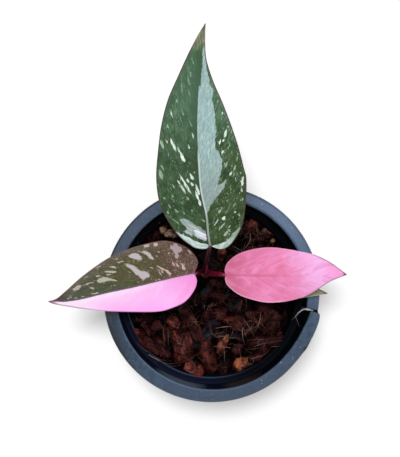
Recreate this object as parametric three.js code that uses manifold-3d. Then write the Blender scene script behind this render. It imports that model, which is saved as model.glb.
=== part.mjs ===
// A young pink princess philodendron growing in its round nursery pot.
// Millimetres, +Z up, with the origin at the centre of the pot's flat underside.

import * as THREE from 'three';
import { mergeVertices } from 'three/addons/utils/BufferGeometryUtils.js';
import Module from 'manifold-3d';

const wasm = await Module();
wasm.setup();

const GAP = 0.3; // clearance between pieces that touch
const WELD = 1e-4; // vertices closer than this are one vertex
const UP = new THREE.Vector3(0, 0, 1);
const { degToRad, lerp, clamp, smoothstep } = THREE.MathUtils;

// ---- Driving dimensions -------------------------------------------------

const POT_HEIGHT = 100;
const RIM_RADIUS = 60;
const RIM_WIDTH = 7.2; // the broad top of the rim
const RIM_DROP = 1.1; // the rim's top slopes down to its outer edge by this much
const RIM_ROUNDING = 0.9;
const FLANGE_DEPTH = 10; // how far the rim's outer skirt hangs down
const FLANGE_WALL = 1.6;
const FLANGE_DRAFT = 0.5; // the skirt leans in by this much at its foot
const COLLAR_TAPER = 0.6; // the collar under the rim narrows by this much
const LEDGE_DEPTH = 12; // from the rim's top down to the inner ledge
const LEDGE_WIDTH = 3.5;
const BASE_RADIUS = 42;
const BASE_BEVEL = 1.5;
const POT_WALL = 1.6;
const FLOOR_THICKNESS = 1.8;
const POT_SIDES = 56;

const FLOOR_HOLES = { count: 4, radius: 4, circle: 22 };
const EDGE_SLOTS = { count: 8, width: 9, height: 5, depth: 5 };

// The rim is split at one place, and the piece below the split is pushed outwards.
const CRACK = { angle: -9.5, width: 0.8, depth: 11.4, pushOut: 1.1, pullIn: 0.5, spread: 26 };
const RIM_CHIP = { angle: -30, width: 1.6, depth: 1.0, height: 4 };

const BED_LEVEL = 82; // mean height of the fine mix between the chips
const BED_RINGS = [16, 32];
const CHIP_COUNT = 74;
const CHIP_SPREAD = 47;
const GOLDEN_ANGLE = 137.508;

const STEM = { x: -3.4, y: 11.5, foot: 62, top: 98, radius: 2.9, tipRadius: 2.3, holeRadius: 3.6 };
const STEM_NODES = [84.5, 88.5, 92.5, 96]; // heights of the swollen rings on the stem

const BLADE_THICKNESS = 0.9;
const BLADE_ROWS = 18;
const BLADE_COLUMNS = [0, 0.06, 0.2, 0.45, 0.74, 1]; // from the midrib to the margin
const MIDRIB_DEPTH = 1.2; // how far the midrib stands out below the blade
const ROW_LEAN = 1.5; // above 1, the rows sweep forwards like side veins

const COLOURS = {
  pot: 0x4a5a6e, bark: 0x5a2a22, stem: 0x4a1226, petiole: 0x7d1738,
  green: 0x49653f, halfPink: 0xa78a7c, pink: 0xee8fbe, smallGreen: 0x5d6b46,
};

// ---- Leaves: each midrib as four Bezier points, each margin as (along, across) ----

const LEAVES = {
  top: {
    midrib: [[-1.5, 28, 148], [-11.5, 65.5, 164], [-7.5, 105, 166], [-3.6, 136.5, 150]],
    foldLeft: 9, foldRight: 6, droop: 0.01, waveHeight: 0.5, waveLength: 38, wavePhase: 1,
    left: [[-1, 2.4], [0.3, 6], [2.7, 8.5], [9.2, 13.6], [18.6, 18], [26, 19.8], [36.4, 20.1],
      [47.7, 18.7], [59.2, 16.7], [70.4, 14], [81.7, 9.8], [95.6, 5.5], [105.7, 2.1]],
    right: [[-2.5, 3], [-3.3, 6.8], [-0.5, 12.1], [7.3, 17.6], [18.6, 21.3], [31, 23.1],
      [38.2, 22.5], [49.2, 20], [59.7, 16.3], [70.6, 11.6], [81.3, 6.6], [91.8, 2.6], [102, 0.9]],
    colour: 'green',
  },
  left: {
    midrib: [[-9.5, 12.7, 120], [-30.5, 9.2, 124], [-58.7, -0.7, 118.7], [-88.7, -3.1, 109]],
    foldLeft: 30, foldRight: 5, droop: 0.006, waveHeight: 0.4, waveLength: 30, wavePhase: 0.6,
    left: [[-0.7, 4.7], [2.3, 9.9], [8.4, 14.9], [16, 17.3], [22.8, 17.3], [35, 14.1],
      [51.5, 9.6], [67.2, 5], [78.4, 1.7]],
    right: [[-2.8, 4.8], [-1.9, 9], [2.2, 14.4], [8.8, 19], [15.7, 20.5], [30.2, 20.2],
      [44.5, 17.3], [59, 11], [70, 4.4], [77, 0.9]],
    colour: 'halfPink',
  },
  right: {
    midrib: [[7, 12, 123], [27.5, 11.8, 130], [47, 11.5, 124], [72.4, 11.5, 113]],
    foldLeft: -4, foldRight: -6, droop: 0.006, waveHeight: 0.3, waveLength: 26, wavePhase: 0.9,
    left: [[-0.6, 3], [1.2, 7], [6.9, 11.5], [15.5, 14.3], [24.3, 14.9], [33.2, 14.3],
      [42.5, 12.4], [48.6, 10.6], [56.3, 7], [62, 3.4]],
    right: [[-0.4, 2.7], [1.1, 6.1], [6.9, 10.2], [13.3, 12.8], [21.5, 14.5], [30.5, 14.5],
      [39.5, 12.5], [45.7, 10], [51.8, 6.7], [58.1, 3.2]],
    colour: 'pink',
  },
  small: {
    midrib: [[21, 7.4, 104], [34, 6.6, 108], [50, 2.6, 108], [63.9, 0.6, 103]],
    foldLeft: 10, foldRight: 10, droop: 0.01, waveHeight: 0, waveLength: 26, wavePhase: 0,
    left: [[-0.6, 2], [2, 4.6], [9, 6.8], [18, 7], [27, 5.2], [33.5, 3], [38.5, 1.3]],
    right: [[-0.6, 2], [2, 4.6], [9, 6.8], [18, 7], [27, 5.4], [33.5, 3.4], [39, 1.6]],
    colour: 'smallGreen',
  },
};

// Each leaf stalk: its route from inside the stem to the blade, and its radius along it.
const PETIOLES = {
  top: {
    route: [[-3.4, 12, 96], [-3.7, 14.2, 106], [-3.4, 17, 117], [-2.6, 21.4, 131],
      [-1.9, 25.4, 142.5], [-1.5, 28.2, 147.2]],
    radii: [[0, 2], [0.28, 1.8], [0.42, 1.25], [1, 1.05]],
  },
  left: {
    route: [[-3.4, 11.5, 91], [-6.4, 11.8, 98], [-8.2, 12.1, 108], [-8.4, 12.4, 115.5],
      [-9.9, 12.7, 119.3]],
    radii: [[0, 1.8], [0.35, 1.35], [1, 1.05]],
  },
  right: {
    route: [[-3.4, 11.5, 94], [-0.4, 11.6, 101], [2.4, 11.8, 110], [4.6, 12, 118],
      [7.4, 12, 122.3]],
    radii: [[0, 1.8], [0.35, 1.35], [1, 1.1]],
  },
  small: {
    route: [[-3.4, 10.8, 87.5], [0.6, 10.2, 90.5], [7.6, 9.9, 96], [14.5, 8.9, 101],
      [21.3, 7.4, 103.4]],
    radii: [[0, 1.3], [0.3, 1], [1, 0.85]],
  },
};

// A rolled new leaf, still a spike, in the crook between the stem's tip and the top stalk.
const NEW_LEAF = {
  route: [[-3.3, 10.2, 99], [-3.1, 12.1, 107.5], [-3, 14.4, 115], [-2.8, 17, 122.5]],
  radii: [[0, 0.9], [0.3, 0.95], [0.8, 0.6], [1, 0.25]],
};

// Chips that stand out on the surface: x, y, length, width, thickness, yaw in degrees.
const KEY_CHIPS = [
  [-12.2, -9, 25, 6.8, 6, -60], [-21.6, -16.2, 7, 6.4, 5.5, 20], [-15.4, -32, 16.5, 11, 6, 98],
  [-9.4, -43, 9.6, 6.2, 5, -15], [-3, -36.3, 13, 8, 5, 70], [-1.3, -17.5, 9.5, 5.4, 5, 10],
  [-6.4, -27.8, 11, 7.6, 5.5, 60], [5.9, -28.6, 8.6, 6, 5, 80], [16.6, -40.5, 8, 7.6, 6, 30],
  [32, -28, 16.5, 6.8, 5.5, 6], [32.8, -17.5, 13.5, 10, 6, 45], [13.2, -15.8, 11, 6, 5, 0],
  [23.4, -14.1, 7.4, 7, 5, 15], [26.9, -37.2, 16, 4, 4, 40], [-34.6, -31.4, 9.6, 7.6, 5, -35],
  [-27.3, -31.5, 10, 6.2, 5, 75], [-32, -15.2, 8, 6, 5, 25], [4.6, 21.3, 7.8, 4.6, 5, 80],
  [32.4, 35.4, 6, 5.4, 5, 0], [35.4, 29.9, 6, 6, 5, 40], [21.8, 39.3, 9.4, 6.8, 5, 20],
  [-22.7, 33.7, 8, 6.8, 5.5, 60], [-27.3, 35.4, 6, 5, 5, 15], [3.9, 5.2, 8.6, 5, 4.5, -10],
];

// ---- Helpers ------------------------------------------------------------

// A repeatable value from 0 to 1 for item `index` and trait `trait`.
function scatter(index, trait) {
  const value = Math.sin(index * 12.9898 + trait * 78.233) * 43758.5453;
  return value - Math.floor(value);
}

// Reads a table of [position, value] pairs with straight lines between them.
function interpolate(table, position) {
  const next = Math.max(1, table.findIndex(([at]) => at >= position));
  const [from, low] = table[next - 1];
  const [to, high] = table[next];
  return lerp(low, high, clamp((position - from) / (to - from), 0, 1));
}

function meshGeometry(positions, indices) {
  const geometry = new THREE.BufferGeometry();
  geometry.setAttribute('position', new THREE.Float32BufferAttribute(positions, 3));
  geometry.setIndex(indices);
  return geometry;
}

// Welds a closed geometry and makes a solid of it for cutting and joining.
function solidOf(geometry) {
  const bare = meshGeometry(geometry.attributes.position.array, null);
  bare.setIndex(geometry.index);
  const welded = mergeVertices(bare, WELD);
  const corners = welded.index.array;
  const triVerts = [];
  for (let i = 0; i < corners.length; i += 3) {
    const [a, b, c] = [corners[i], corners[i + 1], corners[i + 2]];
    if (a !== b && b !== c && c !== a) triVerts.push(a, b, c);
  }
  const vertProperties = new Float32Array(welded.attributes.position.array);
  const mesh = new wasm.Mesh({ numProp: 3, vertProperties, triVerts: Uint32Array.from(triVerts) });
  return new wasm.Manifold(mesh);
}

function geometryOf(solid) {
  const { vertProperties, triVerts } = solid.getMesh();
  const geometry = meshGeometry(vertProperties, Array.from(triVerts));
  geometry.computeVertexNormals();
  return geometry;
}

// Keeps the main body, which drops loose scraps and fills hollows that joining sealed.
function mainBody(solid) {
  return solid.decompose().reduce((best, piece) => (piece.volume() > best.volume() ? piece : best));
}

function namedMesh(name, solid, colour, roughness) {
  const material = new THREE.MeshStandardMaterial({ color: colour, roughness, metalness: 0 });
  const mesh = new THREE.Mesh(geometryOf(solid), material);
  mesh.name = name;
  return mesh;
}

// Turns a closed profile of [radius, height] points about the Z axis.
function turned(profile, sides) {
  const points = profile.map(([radius, height]) => new THREE.Vector2(radius, height));
  return new THREE.LatheGeometry(points, sides).rotateX(Math.PI / 2);
}

// A round rod along a smooth route, thick as its radius table says, with closed ends.
function rodGeometry(route, radii, sides, steps, swell = 0) {
  const path = new THREE.CatmullRomCurve3(route.map((point) => new THREE.Vector3(...point)));
  const frames = path.computeFrenetFrames(steps);
  const positions = [];
  for (let step = 0; step <= steps; step += 1) {
    const centre = path.getPointAt(step / steps);
    const radius = interpolate(radii, step / steps) + swell;
    for (let side = 0; side < sides; side += 1) {
      const angle = (side / sides) * 2 * Math.PI;
      const point = centre.clone();
      point.addScaledVector(frames.normals[step], radius * Math.cos(angle));
      point.addScaledVector(frames.binormals[step], radius * Math.sin(angle));
      positions.push(...point);
    }
  }
  const footCentre = (steps + 1) * sides;
  const tipCentre = footCentre + 1;
  positions.push(...path.getPointAt(0), ...path.getPointAt(1));
  const indices = [];
  for (let side = 0; side < sides; side += 1) {
    const nextSide = (side + 1) % sides;
    for (let step = 0; step < steps; step += 1) {
      const [low, high] = [step * sides, (step + 1) * sides];
      indices.push(low + side, low + nextSide, high + nextSide);
      indices.push(low + side, high + nextSide, high + side);
    }
    indices.push(footCentre, nextSide, side);
    indices.push(tipCentre, steps * sides + side, steps * sides + nextSide);
  }
  return meshGeometry(positions, indices);
}

// ---- Pot ----------------------------------------------------------------

const rimInner = RIM_RADIUS - RIM_WIDTH;
const ledgeHeight = POT_HEIGHT - LEDGE_DEPTH;
const collarFoot = rimInner - COLLAR_TAPER;
const ledgeInner = collarFoot - LEDGE_WIDTH;
const floorRadius = BASE_RADIUS - POT_WALL;

function potProfile() {
  const shoulder = ledgeHeight - POT_WALL;
  const flangeFoot = POT_HEIGHT - FLANGE_DEPTH;
  const rimUnderside = POT_HEIGHT - POT_WALL;
  const rimEdge = POT_HEIGHT - RIM_DROP;
  return [
    [0, 0], [BASE_RADIUS - BASE_BEVEL, 0], [BASE_RADIUS, BASE_BEVEL],
    [ledgeInner + POT_WALL, shoulder], [collarFoot + POT_WALL, shoulder],
    [rimInner + POT_WALL, rimUnderside], [RIM_RADIUS - FLANGE_WALL, rimUnderside - RIM_DROP],
    [RIM_RADIUS - FLANGE_WALL - FLANGE_DRAFT, flangeFoot], [RIM_RADIUS - FLANGE_DRAFT, flangeFoot],
    [RIM_RADIUS, rimEdge - RIM_ROUNDING], [RIM_RADIUS - RIM_ROUNDING, rimEdge],
    [rimInner + RIM_ROUNDING, POT_HEIGHT], [rimInner, POT_HEIGHT - RIM_ROUNDING],
    [collarFoot, ledgeHeight], [ledgeInner, ledgeHeight],
    [floorRadius, FLOOR_THICKNESS], [0, FLOOR_THICKNESS],
  ];
}

// A box at the given radius and angle round the pot, with its middle at the given height.
function boxRoundPot(radial, around, tall, radius, angle, height) {
  const box = new THREE.BoxGeometry(radial, around, tall);
  box.translate(radius, 0, height).rotateZ(degToRad(angle));
  return solidOf(box);
}

function drainageCuts() {
  const cuts = [];
  for (let i = 0; i < FLOOR_HOLES.count; i += 1) {
    const hole = new THREE.CylinderGeometry(FLOOR_HOLES.radius, FLOOR_HOLES.radius, 10, 16);
    hole.rotateX(Math.PI / 2).translate(FLOOR_HOLES.circle, 0, 0);
    hole.rotateZ(degToRad((i * 360) / FLOOR_HOLES.count));
    cuts.push(solidOf(hole));
  }
  const { count, width, height, depth } = EDGE_SLOTS;
  for (let i = 0; i < count; i += 1) {
    const angle = ((i + 0.5) * 360) / count;
    cuts.push(boxRoundPot(2 * depth, width, 2 * height, BASE_RADIUS, angle, 0));
  }
  return cuts;
}

// Pushes the rim out on one side of the split and in on the other, fading round the rim.
function bendAtCrack(x, y, z) {
  const turn = THREE.MathUtils.euclideanModulo(
    THREE.MathUtils.radToDeg(Math.atan2(y, x)) - CRACK.angle + 180, 360) - 180;
  const fade = 1 - smoothstep(Math.abs(turn), 0, CRACK.spread);
  const shift = (turn < 0 ? CRACK.pushOut : -CRACK.pullIn) * fade;
  const height = smoothstep(z, ledgeHeight - POT_WALL, POT_HEIGHT);
  const scale = 1 + (shift * height) / Math.max(Math.hypot(x, y), 1);
  return [x * scale, y * scale, z];
}

function potSolid() {
  const body = solidOf(turned(potProfile(), POT_SIDES));
  const split = boxRoundPot(RIM_WIDTH * 2, CRACK.width, CRACK.depth * 2, RIM_RADIUS - RIM_WIDTH / 2,
    CRACK.angle, POT_HEIGHT);
  const chip = boxRoundPot(RIM_CHIP.depth * 2, RIM_CHIP.width, RIM_CHIP.height * 2,
    RIM_RADIUS + 0.4, RIM_CHIP.angle, POT_HEIGHT);
  const cut = body.subtract(wasm.Manifold.union([split, chip, ...drainageCuts()]));
  const { vertProperties, triVerts } = cut.getMesh();
  for (let i = 0; i < vertProperties.length; i += 3) {
    vertProperties.set(bendAtCrack(...vertProperties.subarray(i, i + 3)), i);
  }
  return new wasm.Manifold(new wasm.Mesh({ numProp: 3, vertProperties, triVerts }));
}

// ---- Bark bed -----------------------------------------------------------

// The bed slopes down to the right and to the back, with soft hollows.
function bedHeight(x, y) {
  return BED_LEVEL - 0.045 * x - 0.03 * y + 1.1 * Math.sin(x / 9 + 1) * Math.cos(y / 11);
}

function bedCore() {
  const wall = (height) => lerp(floorRadius, ledgeInner,
    (height - FLOOR_THICKNESS) / (ledgeHeight - FLOOR_THICKNESS)) - GAP;
  const foot = FLOOR_THICKNESS + GAP;
  const profile = [[0, foot], [wall(foot), foot], [wall(BED_LEVEL), BED_LEVEL]];
  BED_RINGS.slice().reverse().forEach((radius) => profile.push([radius, BED_LEVEL]));
  profile.push([0, BED_LEVEL]);
  const core = turned(profile, 24);
  const { position } = core.attributes;
  for (let i = 0; i < position.count; i += 1) {
    const [x, y, z] = [position.getX(i), position.getY(i), position.getZ(i)];
    if (z > BED_LEVEL - 1) position.setZ(i, bedHeight(x, y));
  }
  return solidOf(core);
}

// One broken piece of bark: a faceted lump, stretched along its grain, turned and laid down.
function chipSolid(index, [x, y, length, width, thickness, yaw]) {
  const long = length > 1.9 * width;
  const lump = long ? new THREE.CylinderGeometry(1, 1, 2, 6).rotateZ(Math.PI / 2)
    : new THREE.IcosahedronGeometry(1.12, 0);
  const { position } = lump.attributes;
  for (let i = 0; i < position.count; i += 1) {
    const key = Math.round(position.getX(i) * 50 + position.getY(i) * 31 + position.getZ(i) * 17);
    const swell = lerp(0.82, 1.12, scatter(index, key));
    position.setXYZ(i, position.getX(i) * swell, position.getY(i) * swell,
      position.getZ(i) * swell);
  }
  lump.scale(length / 2, width / 2, thickness / 2);
  lump.rotateX(degToRad(lerp(-18, 18, scatter(index, 1))));
  lump.rotateY(degToRad(lerp(-14, 14, scatter(index, 2))));
  lump.rotateZ(degToRad(yaw));
  const rise = thickness * lerp(0.05, 0.4, scatter(index, 3));
  lump.translate(x, y, bedHeight(x, y) + rise);
  return solidOf(lump);
}

// Chips on a sunflower pattern, loosened and sized at random, clear of the stem and key chips.
function scatteredChips() {
  const chips = [];
  for (let i = 0; i < CHIP_COUNT; i += 1) {
    const radius = CHIP_SPREAD * Math.sqrt((i + 0.5) / CHIP_COUNT);
    const angle = degToRad(i * GOLDEN_ANGLE);
    const x = radius * Math.cos(angle) + lerp(-2, 2, scatter(i, 4));
    const y = radius * Math.sin(angle) + lerp(-2, 2, scatter(i, 5));
    const length = lerp(9, 16, scatter(i, 6) ** 2);
    const width = length * lerp(0.5, 0.88, scatter(i, 7));
    const covered = KEY_CHIPS.some(([cx, cy, size]) => Math.hypot(x - cx, y - cy) < size * 0.36);
    const atStem = Math.hypot(x - STEM.x, y - STEM.y) < 7;
    if (!covered && !atStem) {
      chips.push([x, y, length, width, lerp(3.6, 5.6, scatter(i, 8)), 180 * scatter(i, 9)]);
    }
  }
  return chips;
}

// The room inside the pot that the bed may fill, a clearance away from the wall.
function wellSolid() {
  const step = ledgeHeight + GAP;
  const atLedge = ledgeInner - GAP;
  return solidOf(turned([
    [0, FLOOR_THICKNESS + GAP], [floorRadius - GAP, FLOOR_THICKNESS + GAP], [atLedge, step],
    [collarFoot - GAP - CRACK.pullIn, step], [rimInner - GAP - CRACK.pullIn, POT_HEIGHT],
    [0, POT_HEIGHT],
  ], POT_SIDES));
}

function bedSolid() {
  const chips = [...KEY_CHIPS, ...scatteredChips()].map((chip, index) => chipSolid(index, chip));
  const heaped = wasm.Manifold.union([bedCore(), ...chips]).intersect(wellSolid());
  const depth = POT_HEIGHT - STEM.foot + GAP;
  const hole = new THREE.CylinderGeometry(STEM.holeRadius, STEM.holeRadius, depth, 12);
  hole.rotateX(Math.PI / 2).translate(STEM.x, STEM.y, POT_HEIGHT - depth / 2);
  return mainBody(heaped.subtract(solidOf(hole)).subtract(petioleRod('small', GAP)));
}

// ---- Stem, stalks and blades --------------------------------------------

function stemSolid(swell = 0) {
  const span = STEM.top - STEM.foot;
  const radii = [[0, STEM.radius]];
  STEM_NODES.forEach((height) => {
    const at = (height - STEM.foot) / span;
    const plain = lerp(STEM.radius, STEM.tipRadius, at);
    radii.push([at - 0.04, plain], [at, plain + 0.35]);
  });
  radii.push([1, STEM.tipRadius * 0.75]);
  const route = [[STEM.x, STEM.y, STEM.foot], [STEM.x, STEM.y, STEM.top + swell]];
  return solidOf(rodGeometry(route, radii, 10, 30, swell));
}

function petioleRod(name, swell) {
  const { route, radii } = PETIOLES[name];
  return solidOf(rodGeometry(route, radii, 8, 14, swell));
}

// A stalk cut clear of the stem and of the stalks above it.
function petioleSolid(name) {
  const names = Object.keys(PETIOLES);
  const above = names.slice(0, names.indexOf(name)).map((other) => petioleRod(other, GAP));
  return mainBody(wasm.Manifold.difference([petioleRod(name, 0), stemSolid(GAP), ...above]));
}

function newLeafSolid() {
  const spike = solidOf(rodGeometry(NEW_LEAF.route, NEW_LEAF.radii, 6, 8));
  const stalks = Object.keys(PETIOLES).map((name) => petioleRod(name, GAP));
  return mainBody(wasm.Manifold.difference([spike, stemSolid(GAP), ...stalks]));
}

// The midrib's point, its forward direction, the way to the blade's left, and its facing.
function midribFrame(leaf, along) {
  const inside = clamp(along, 0, leaf.length);
  const point = leaf.curve.getPointAt(inside / leaf.length);
  const forward = leaf.curve.getTangentAt(inside / leaf.length);
  point.addScaledVector(forward, along - inside);
  const left = new THREE.Vector3().crossVectors(UP, forward).normalize();
  const facing = new THREE.Vector3().crossVectors(forward, left);
  return { point, left, facing };
}

// A point `along` the midrib and `across` to its left, `lift` above the blade's middle layer.
function bladePoint(leaf, along, across, lift) {
  const { point, left, facing } = midribFrame(leaf, along);
  const reach = Math.abs(across);
  const fold = degToRad(across > 0 ? leaf.foldLeft : leaf.foldRight);
  const phase = (2 * Math.PI * along) / leaf.waveLength + leaf.wavePhase * Math.sign(across);
  const wave = leaf.waveHeight * (reach / 20) ** 2 * Math.sin(phase);
  const rise = reach * Math.sin(fold) - (leaf.droop * reach ** 2) / 2 + wave + lift;
  return point.addScaledVector(left, across * Math.cos(fold)).addScaledVector(facing, rise);
}

// One margin as a smooth curve in (along, across), from the leaf's base to its tip.
function marginCurve(points, length) {
  const ends = [[0, 0], ...points, [length, 0]];
  return new THREE.SplineCurve(ends.map(([along, across]) => new THREE.Vector2(along, across)));
}

// How far the midrib bulges below the blade, by column and by row.
function ribDepth(column, row) {
  const shape = [1, 0.65, 0][Math.min(column, 2)];
  return MIDRIB_DEPTH * shape * (1 - 0.8 * row);
}

// A thin blade: both faces share one grid of rows that fan out from the midrib.
function bladeGeometry(leaf) {
  const half = BLADE_COLUMNS.length - 1;
  const margins = { 1: marginCurve(leaf.left, leaf.length), '-1': marginCurve(leaf.right, leaf.length) };
  const positions = [];
  const rows = [];
  for (let row = 0; row <= BLADE_ROWS; row += 1) {
    const at = row / BLADE_ROWS;
    const start = new THREE.Vector2(leaf.length * at ** ROW_LEAN, 0);
    const ids = [];
    for (let column = -half; column <= half; column += 1) {
      const side = Math.sign(column) || 1;
      const end = margins[side].getPointAt(at);
      const place = start.clone().lerp(end, BLADE_COLUMNS[Math.abs(column)]);
      const below = -BLADE_THICKNESS / 2 - ribDepth(Math.abs(column), at);
      const top = bladePoint(leaf, place.x, side * place.y, BLADE_THICKNESS / 2);
      const bottom = bladePoint(leaf, place.x, side * place.y, below);
      const isPoint = row === 0 || row === BLADE_ROWS; // the base and the tip are single points
      if (isPoint && column > -half) {
        ids.push(ids[0]);
      } else {
        ids.push(positions.length / 3);
        positions.push(...top, ...bottom);
      }
    }
    rows.push(ids);
  }
  const indices = [];
  const face = (a, b, c) => {
    if (a !== b && b !== c && c !== a) indices.push(a, b, c);
  };
  for (let row = 0; row < BLADE_ROWS; row += 1) {
    for (let column = 0; column < 2 * half; column += 1) {
      const [a, b] = [rows[row][column], rows[row][column + 1]];
      const [c, d] = [rows[row + 1][column], rows[row + 1][column + 1]];
      face(a, c, d);
      face(a, d, b);
      face(a + 1, d + 1, c + 1);
      face(a + 1, b + 1, d + 1);
    }
    [[0, 1], [2 * half, -1]].forEach(([edge, side]) => {
      const [a, c] = [rows[row][edge], rows[row + 1][edge]];
      const walls = side > 0 ? [[a, a + 1, c + 1], [a, c + 1, c]] : [[a, c + 1, a + 1], [a, c, c + 1]];
      walls.forEach((wall) => face(...wall));
    });
  }
  return meshGeometry(positions, indices);
}

function bladeSolid(name) {
  const leaf = { ...LEAVES[name] };
  const corners = leaf.midrib.map((point) => new THREE.Vector3(...point));
  leaf.curve = new THREE.CubicBezierCurve3(...corners);
  leaf.length = leaf.curve.getLength();
  return solidOf(bladeGeometry(leaf)).subtract(petioleRod(name, GAP));
}

// ---- The whole plant ----------------------------------------------------

const plant = new THREE.Group();
plant.add(namedMesh('pot', potSolid(), COLOURS.pot, 0.5));
plant.add(namedMesh('bark_bed', bedSolid(), COLOURS.bark, 0.9));
plant.add(namedMesh('stem', stemSolid(), COLOURS.stem, 0.5));

Object.keys(LEAVES).forEach((name) => {
  plant.add(namedMesh(`petiole_${name}`, petioleSolid(name), COLOURS.petiole, 0.4));
  plant.add(namedMesh(`leaf_${name}`, bladeSolid(name), COLOURS[LEAVES[name].colour], 0.35));
});
plant.add(namedMesh('new_leaf', newLeafSolid(), COLOURS.petiole, 0.4));

export default plant;
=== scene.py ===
"""A young pink princess philodendron in its nursery pot, dressed in full detail round its frame."""

import math
import random

import bmesh
import bpy
import numpy as np
from bpy.props import FloatProperty, FloatVectorProperty, IntProperty, PointerProperty
from bpy.types import Operator, Panel, PropertyGroup
from mathutils import Euler, Matrix, Vector, noise
from mathutils.bvhtree import BVHTree


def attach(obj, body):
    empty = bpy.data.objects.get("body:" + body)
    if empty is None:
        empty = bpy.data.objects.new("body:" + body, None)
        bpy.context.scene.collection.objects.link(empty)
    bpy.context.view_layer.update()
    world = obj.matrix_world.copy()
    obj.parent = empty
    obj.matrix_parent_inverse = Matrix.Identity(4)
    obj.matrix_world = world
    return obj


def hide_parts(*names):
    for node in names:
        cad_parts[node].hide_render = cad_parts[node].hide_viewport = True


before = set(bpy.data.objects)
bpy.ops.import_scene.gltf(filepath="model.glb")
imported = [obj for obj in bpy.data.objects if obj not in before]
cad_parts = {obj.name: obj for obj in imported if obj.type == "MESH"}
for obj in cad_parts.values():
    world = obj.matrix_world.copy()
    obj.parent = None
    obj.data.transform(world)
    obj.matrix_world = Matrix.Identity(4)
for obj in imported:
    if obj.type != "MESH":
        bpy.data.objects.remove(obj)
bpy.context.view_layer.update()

bl_info = {
    "name": "Potted Philodendron",
    "version": (1, 0, 0),
    "blender": (4, 5, 0),
    "location": "3D View > Sidebar > Philodendron",
    "description": "Models a variegated philodendron, its bark bed and its nursery pot",
    "category": "Add Mesh",
}

MM = 0.001  # the tables below are in millimetres
GOLDEN_ANGLE = 137.508

# ---- The plant's sizes ----------------------------------------------------------------

# The pot's section, as (radius, height), from the floor up the inside, over the rim and
# down the outside to the foot.
POT_SECTION = [
    (40.4, 1.8), (41.0, 8.0), (45.0, 50.0), (48.42, 86.6), (48.6, 87.5), (48.95, 88.0),
    (49.5, 88.15), (50.1, 87.95), (51.7, 87.9), (52.15, 88.1), (52.25, 88.8), (52.72, 98.4),
    (52.82, 99.2), (53.1, 99.75), (53.7, 100.0), (54.6, 99.86), (56.4, 99.5), (58.2, 99.12),
    (59.0, 98.9), (59.6, 98.5), (59.93, 97.9), (59.9, 96.8), (59.5, 90.4), (59.3, 90.05),
    (58.7, 89.95), (58.0, 90.2), (58.35, 97.1), (54.6, 98.2), (54.35, 97.7), (53.8, 86.8),
    (53.4, 86.45), (50.6, 86.45), (50.2, 86.0), (46.1, 43.0), (42.1, 2.2), (41.8, 0.9),
    (41.2, 0.2), (40.5, 0.0),
]
RIM_TOP = 100.0
LEDGE_FOOT = 86.4  # below this the split rim isn't bent
# Painted sheen and shade on the rim: lighter at three bearings, and darker at 192° where the left
# leaf shades it.
# Each has its bearing in degrees, where the change starts and where it is full, as metres towards
# that bearing, and the colour.
RIM_PAINTED_LIGHT = [(150, 0.036, 0.055, "354254"), (24, 0.041, 0.055, "3a4c64"),
             (280, 0.026, 0.055, "2c3b4f"), (192, 0.049, 0.057, "16202f")]
# Dusty spots on the inner wall: bearing, how far each reaches in metres, strength and colour.
INSIDE_DUST = [(246, 0.0135, 0.9, "4a5663"), (254, 0.0135, 0.9, "4a5663"),
               (287, 0.011, 0.9, "2a2323"), (294, 0.009, 0.6, "241d1d")]
DUST_RADIUS = 52.5
DUST_HEIGHT = 94.5
DRAIN_HOLES = {"count": 4, "radius": 4.0, "circle": 22.0}
FOOT_SLOTS = {"count": 8, "width": 9.0, "height": 5.0, "depth": 5.0, "circle": 42.0}
# The split through the rim: its bearing, its width inside and outside, how far down it goes, how far
# the rim stands out and in beside it, how far round that fades, how far one side's inner part draws
# back and its outer corner turns in, and the radius of its middle.
SPLIT = {"angle": -9.4, "inside": 0.8, "outside": 2.4, "depth": 11.4, "out": 1.1, "in": 0.5,
         "spread": 26.0, "recede": 1.7, "corner": 1.5, "middle": 56.4}
# A dark sheet below the split, painted shade seen through it: its size, how far out and how high it
# lies, and its turn from it.
SPLIT_SHADE_SHEET = {"size": (5.4, 5.0, 0.7), "radius": 56.9, "height": 95.2, "turn": 0.5}
# How far the thin rim is warped: bearing in degrees, shift of its outer edge and of its inner edge.
RIM_WARP = [
    (0, 0.6, 0.8), (35, 0.28, 0.45), (135, -0.22, -0.3), (150, -0.15, -0.3), (196, 0.4, -0.3),
    (215, 0.5, -0.32), (250, 0.42, -0.35), (270, 0.5, 0), (292, 0.5, 0.4), (320, 0.48, 0.36),
    (326, 0.72, 0.6), (330, 1.2, 0.65), (336, 0.85, 0.7), (342, 0.95, 0.45), (346, 0.95, 0),
    (350.4, 0.9, 0), (350.6, 0.6, 0.8),
]
# A small nick in the rim's edge, and the radius and height of the dark spot painted there as its
# shade.
RIM_NICK = {"angle": -30.5, "width": 1.9, "depth": 0.2, "height": 4.0, "edge": 60.4,
            "mark": 60.5, "mark_height": 98.3}

BED_LEVEL = 82.0
WELL = [(2.1, 40.1), (87.6, 48.3), (88.5, 51.4), (99.0, 52.2)]  # (height, radius) open to the bed
MIX_SIDES = 168
MIX_RINGS = 64
MIX_WALL = [(60.0, 45.6), (2.1, 40.1)]  # (height, radius) of the mix below its top
CHIP_COUNT = 150
CHIP_SPREAD = 47.0
GRIT_SPREAD = 47.2
THREAD_SPREAD = 45.5  # where short threads start
THREAD_LIMIT = 47.0  # how far out they may lie
FALL_START = 110.0  # above everything on the bed, where the look down for its top starts
# Bark colours by tone, from charred to dry fresh wood.
BARK_TONES = [(0.0, "13131a"), (0.1, "1e1d26"), (0.18, "190909"), (0.3, "270e0d"),
              (0.41, "371616"), (0.5, "481e1c"), (0.58, "5e2723"), (0.66, "7a4338"),
              (0.74, "8a4f34"), (0.8, "9c5628"), (0.88, "6e5245"), (1.0, "85705f")]

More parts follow.
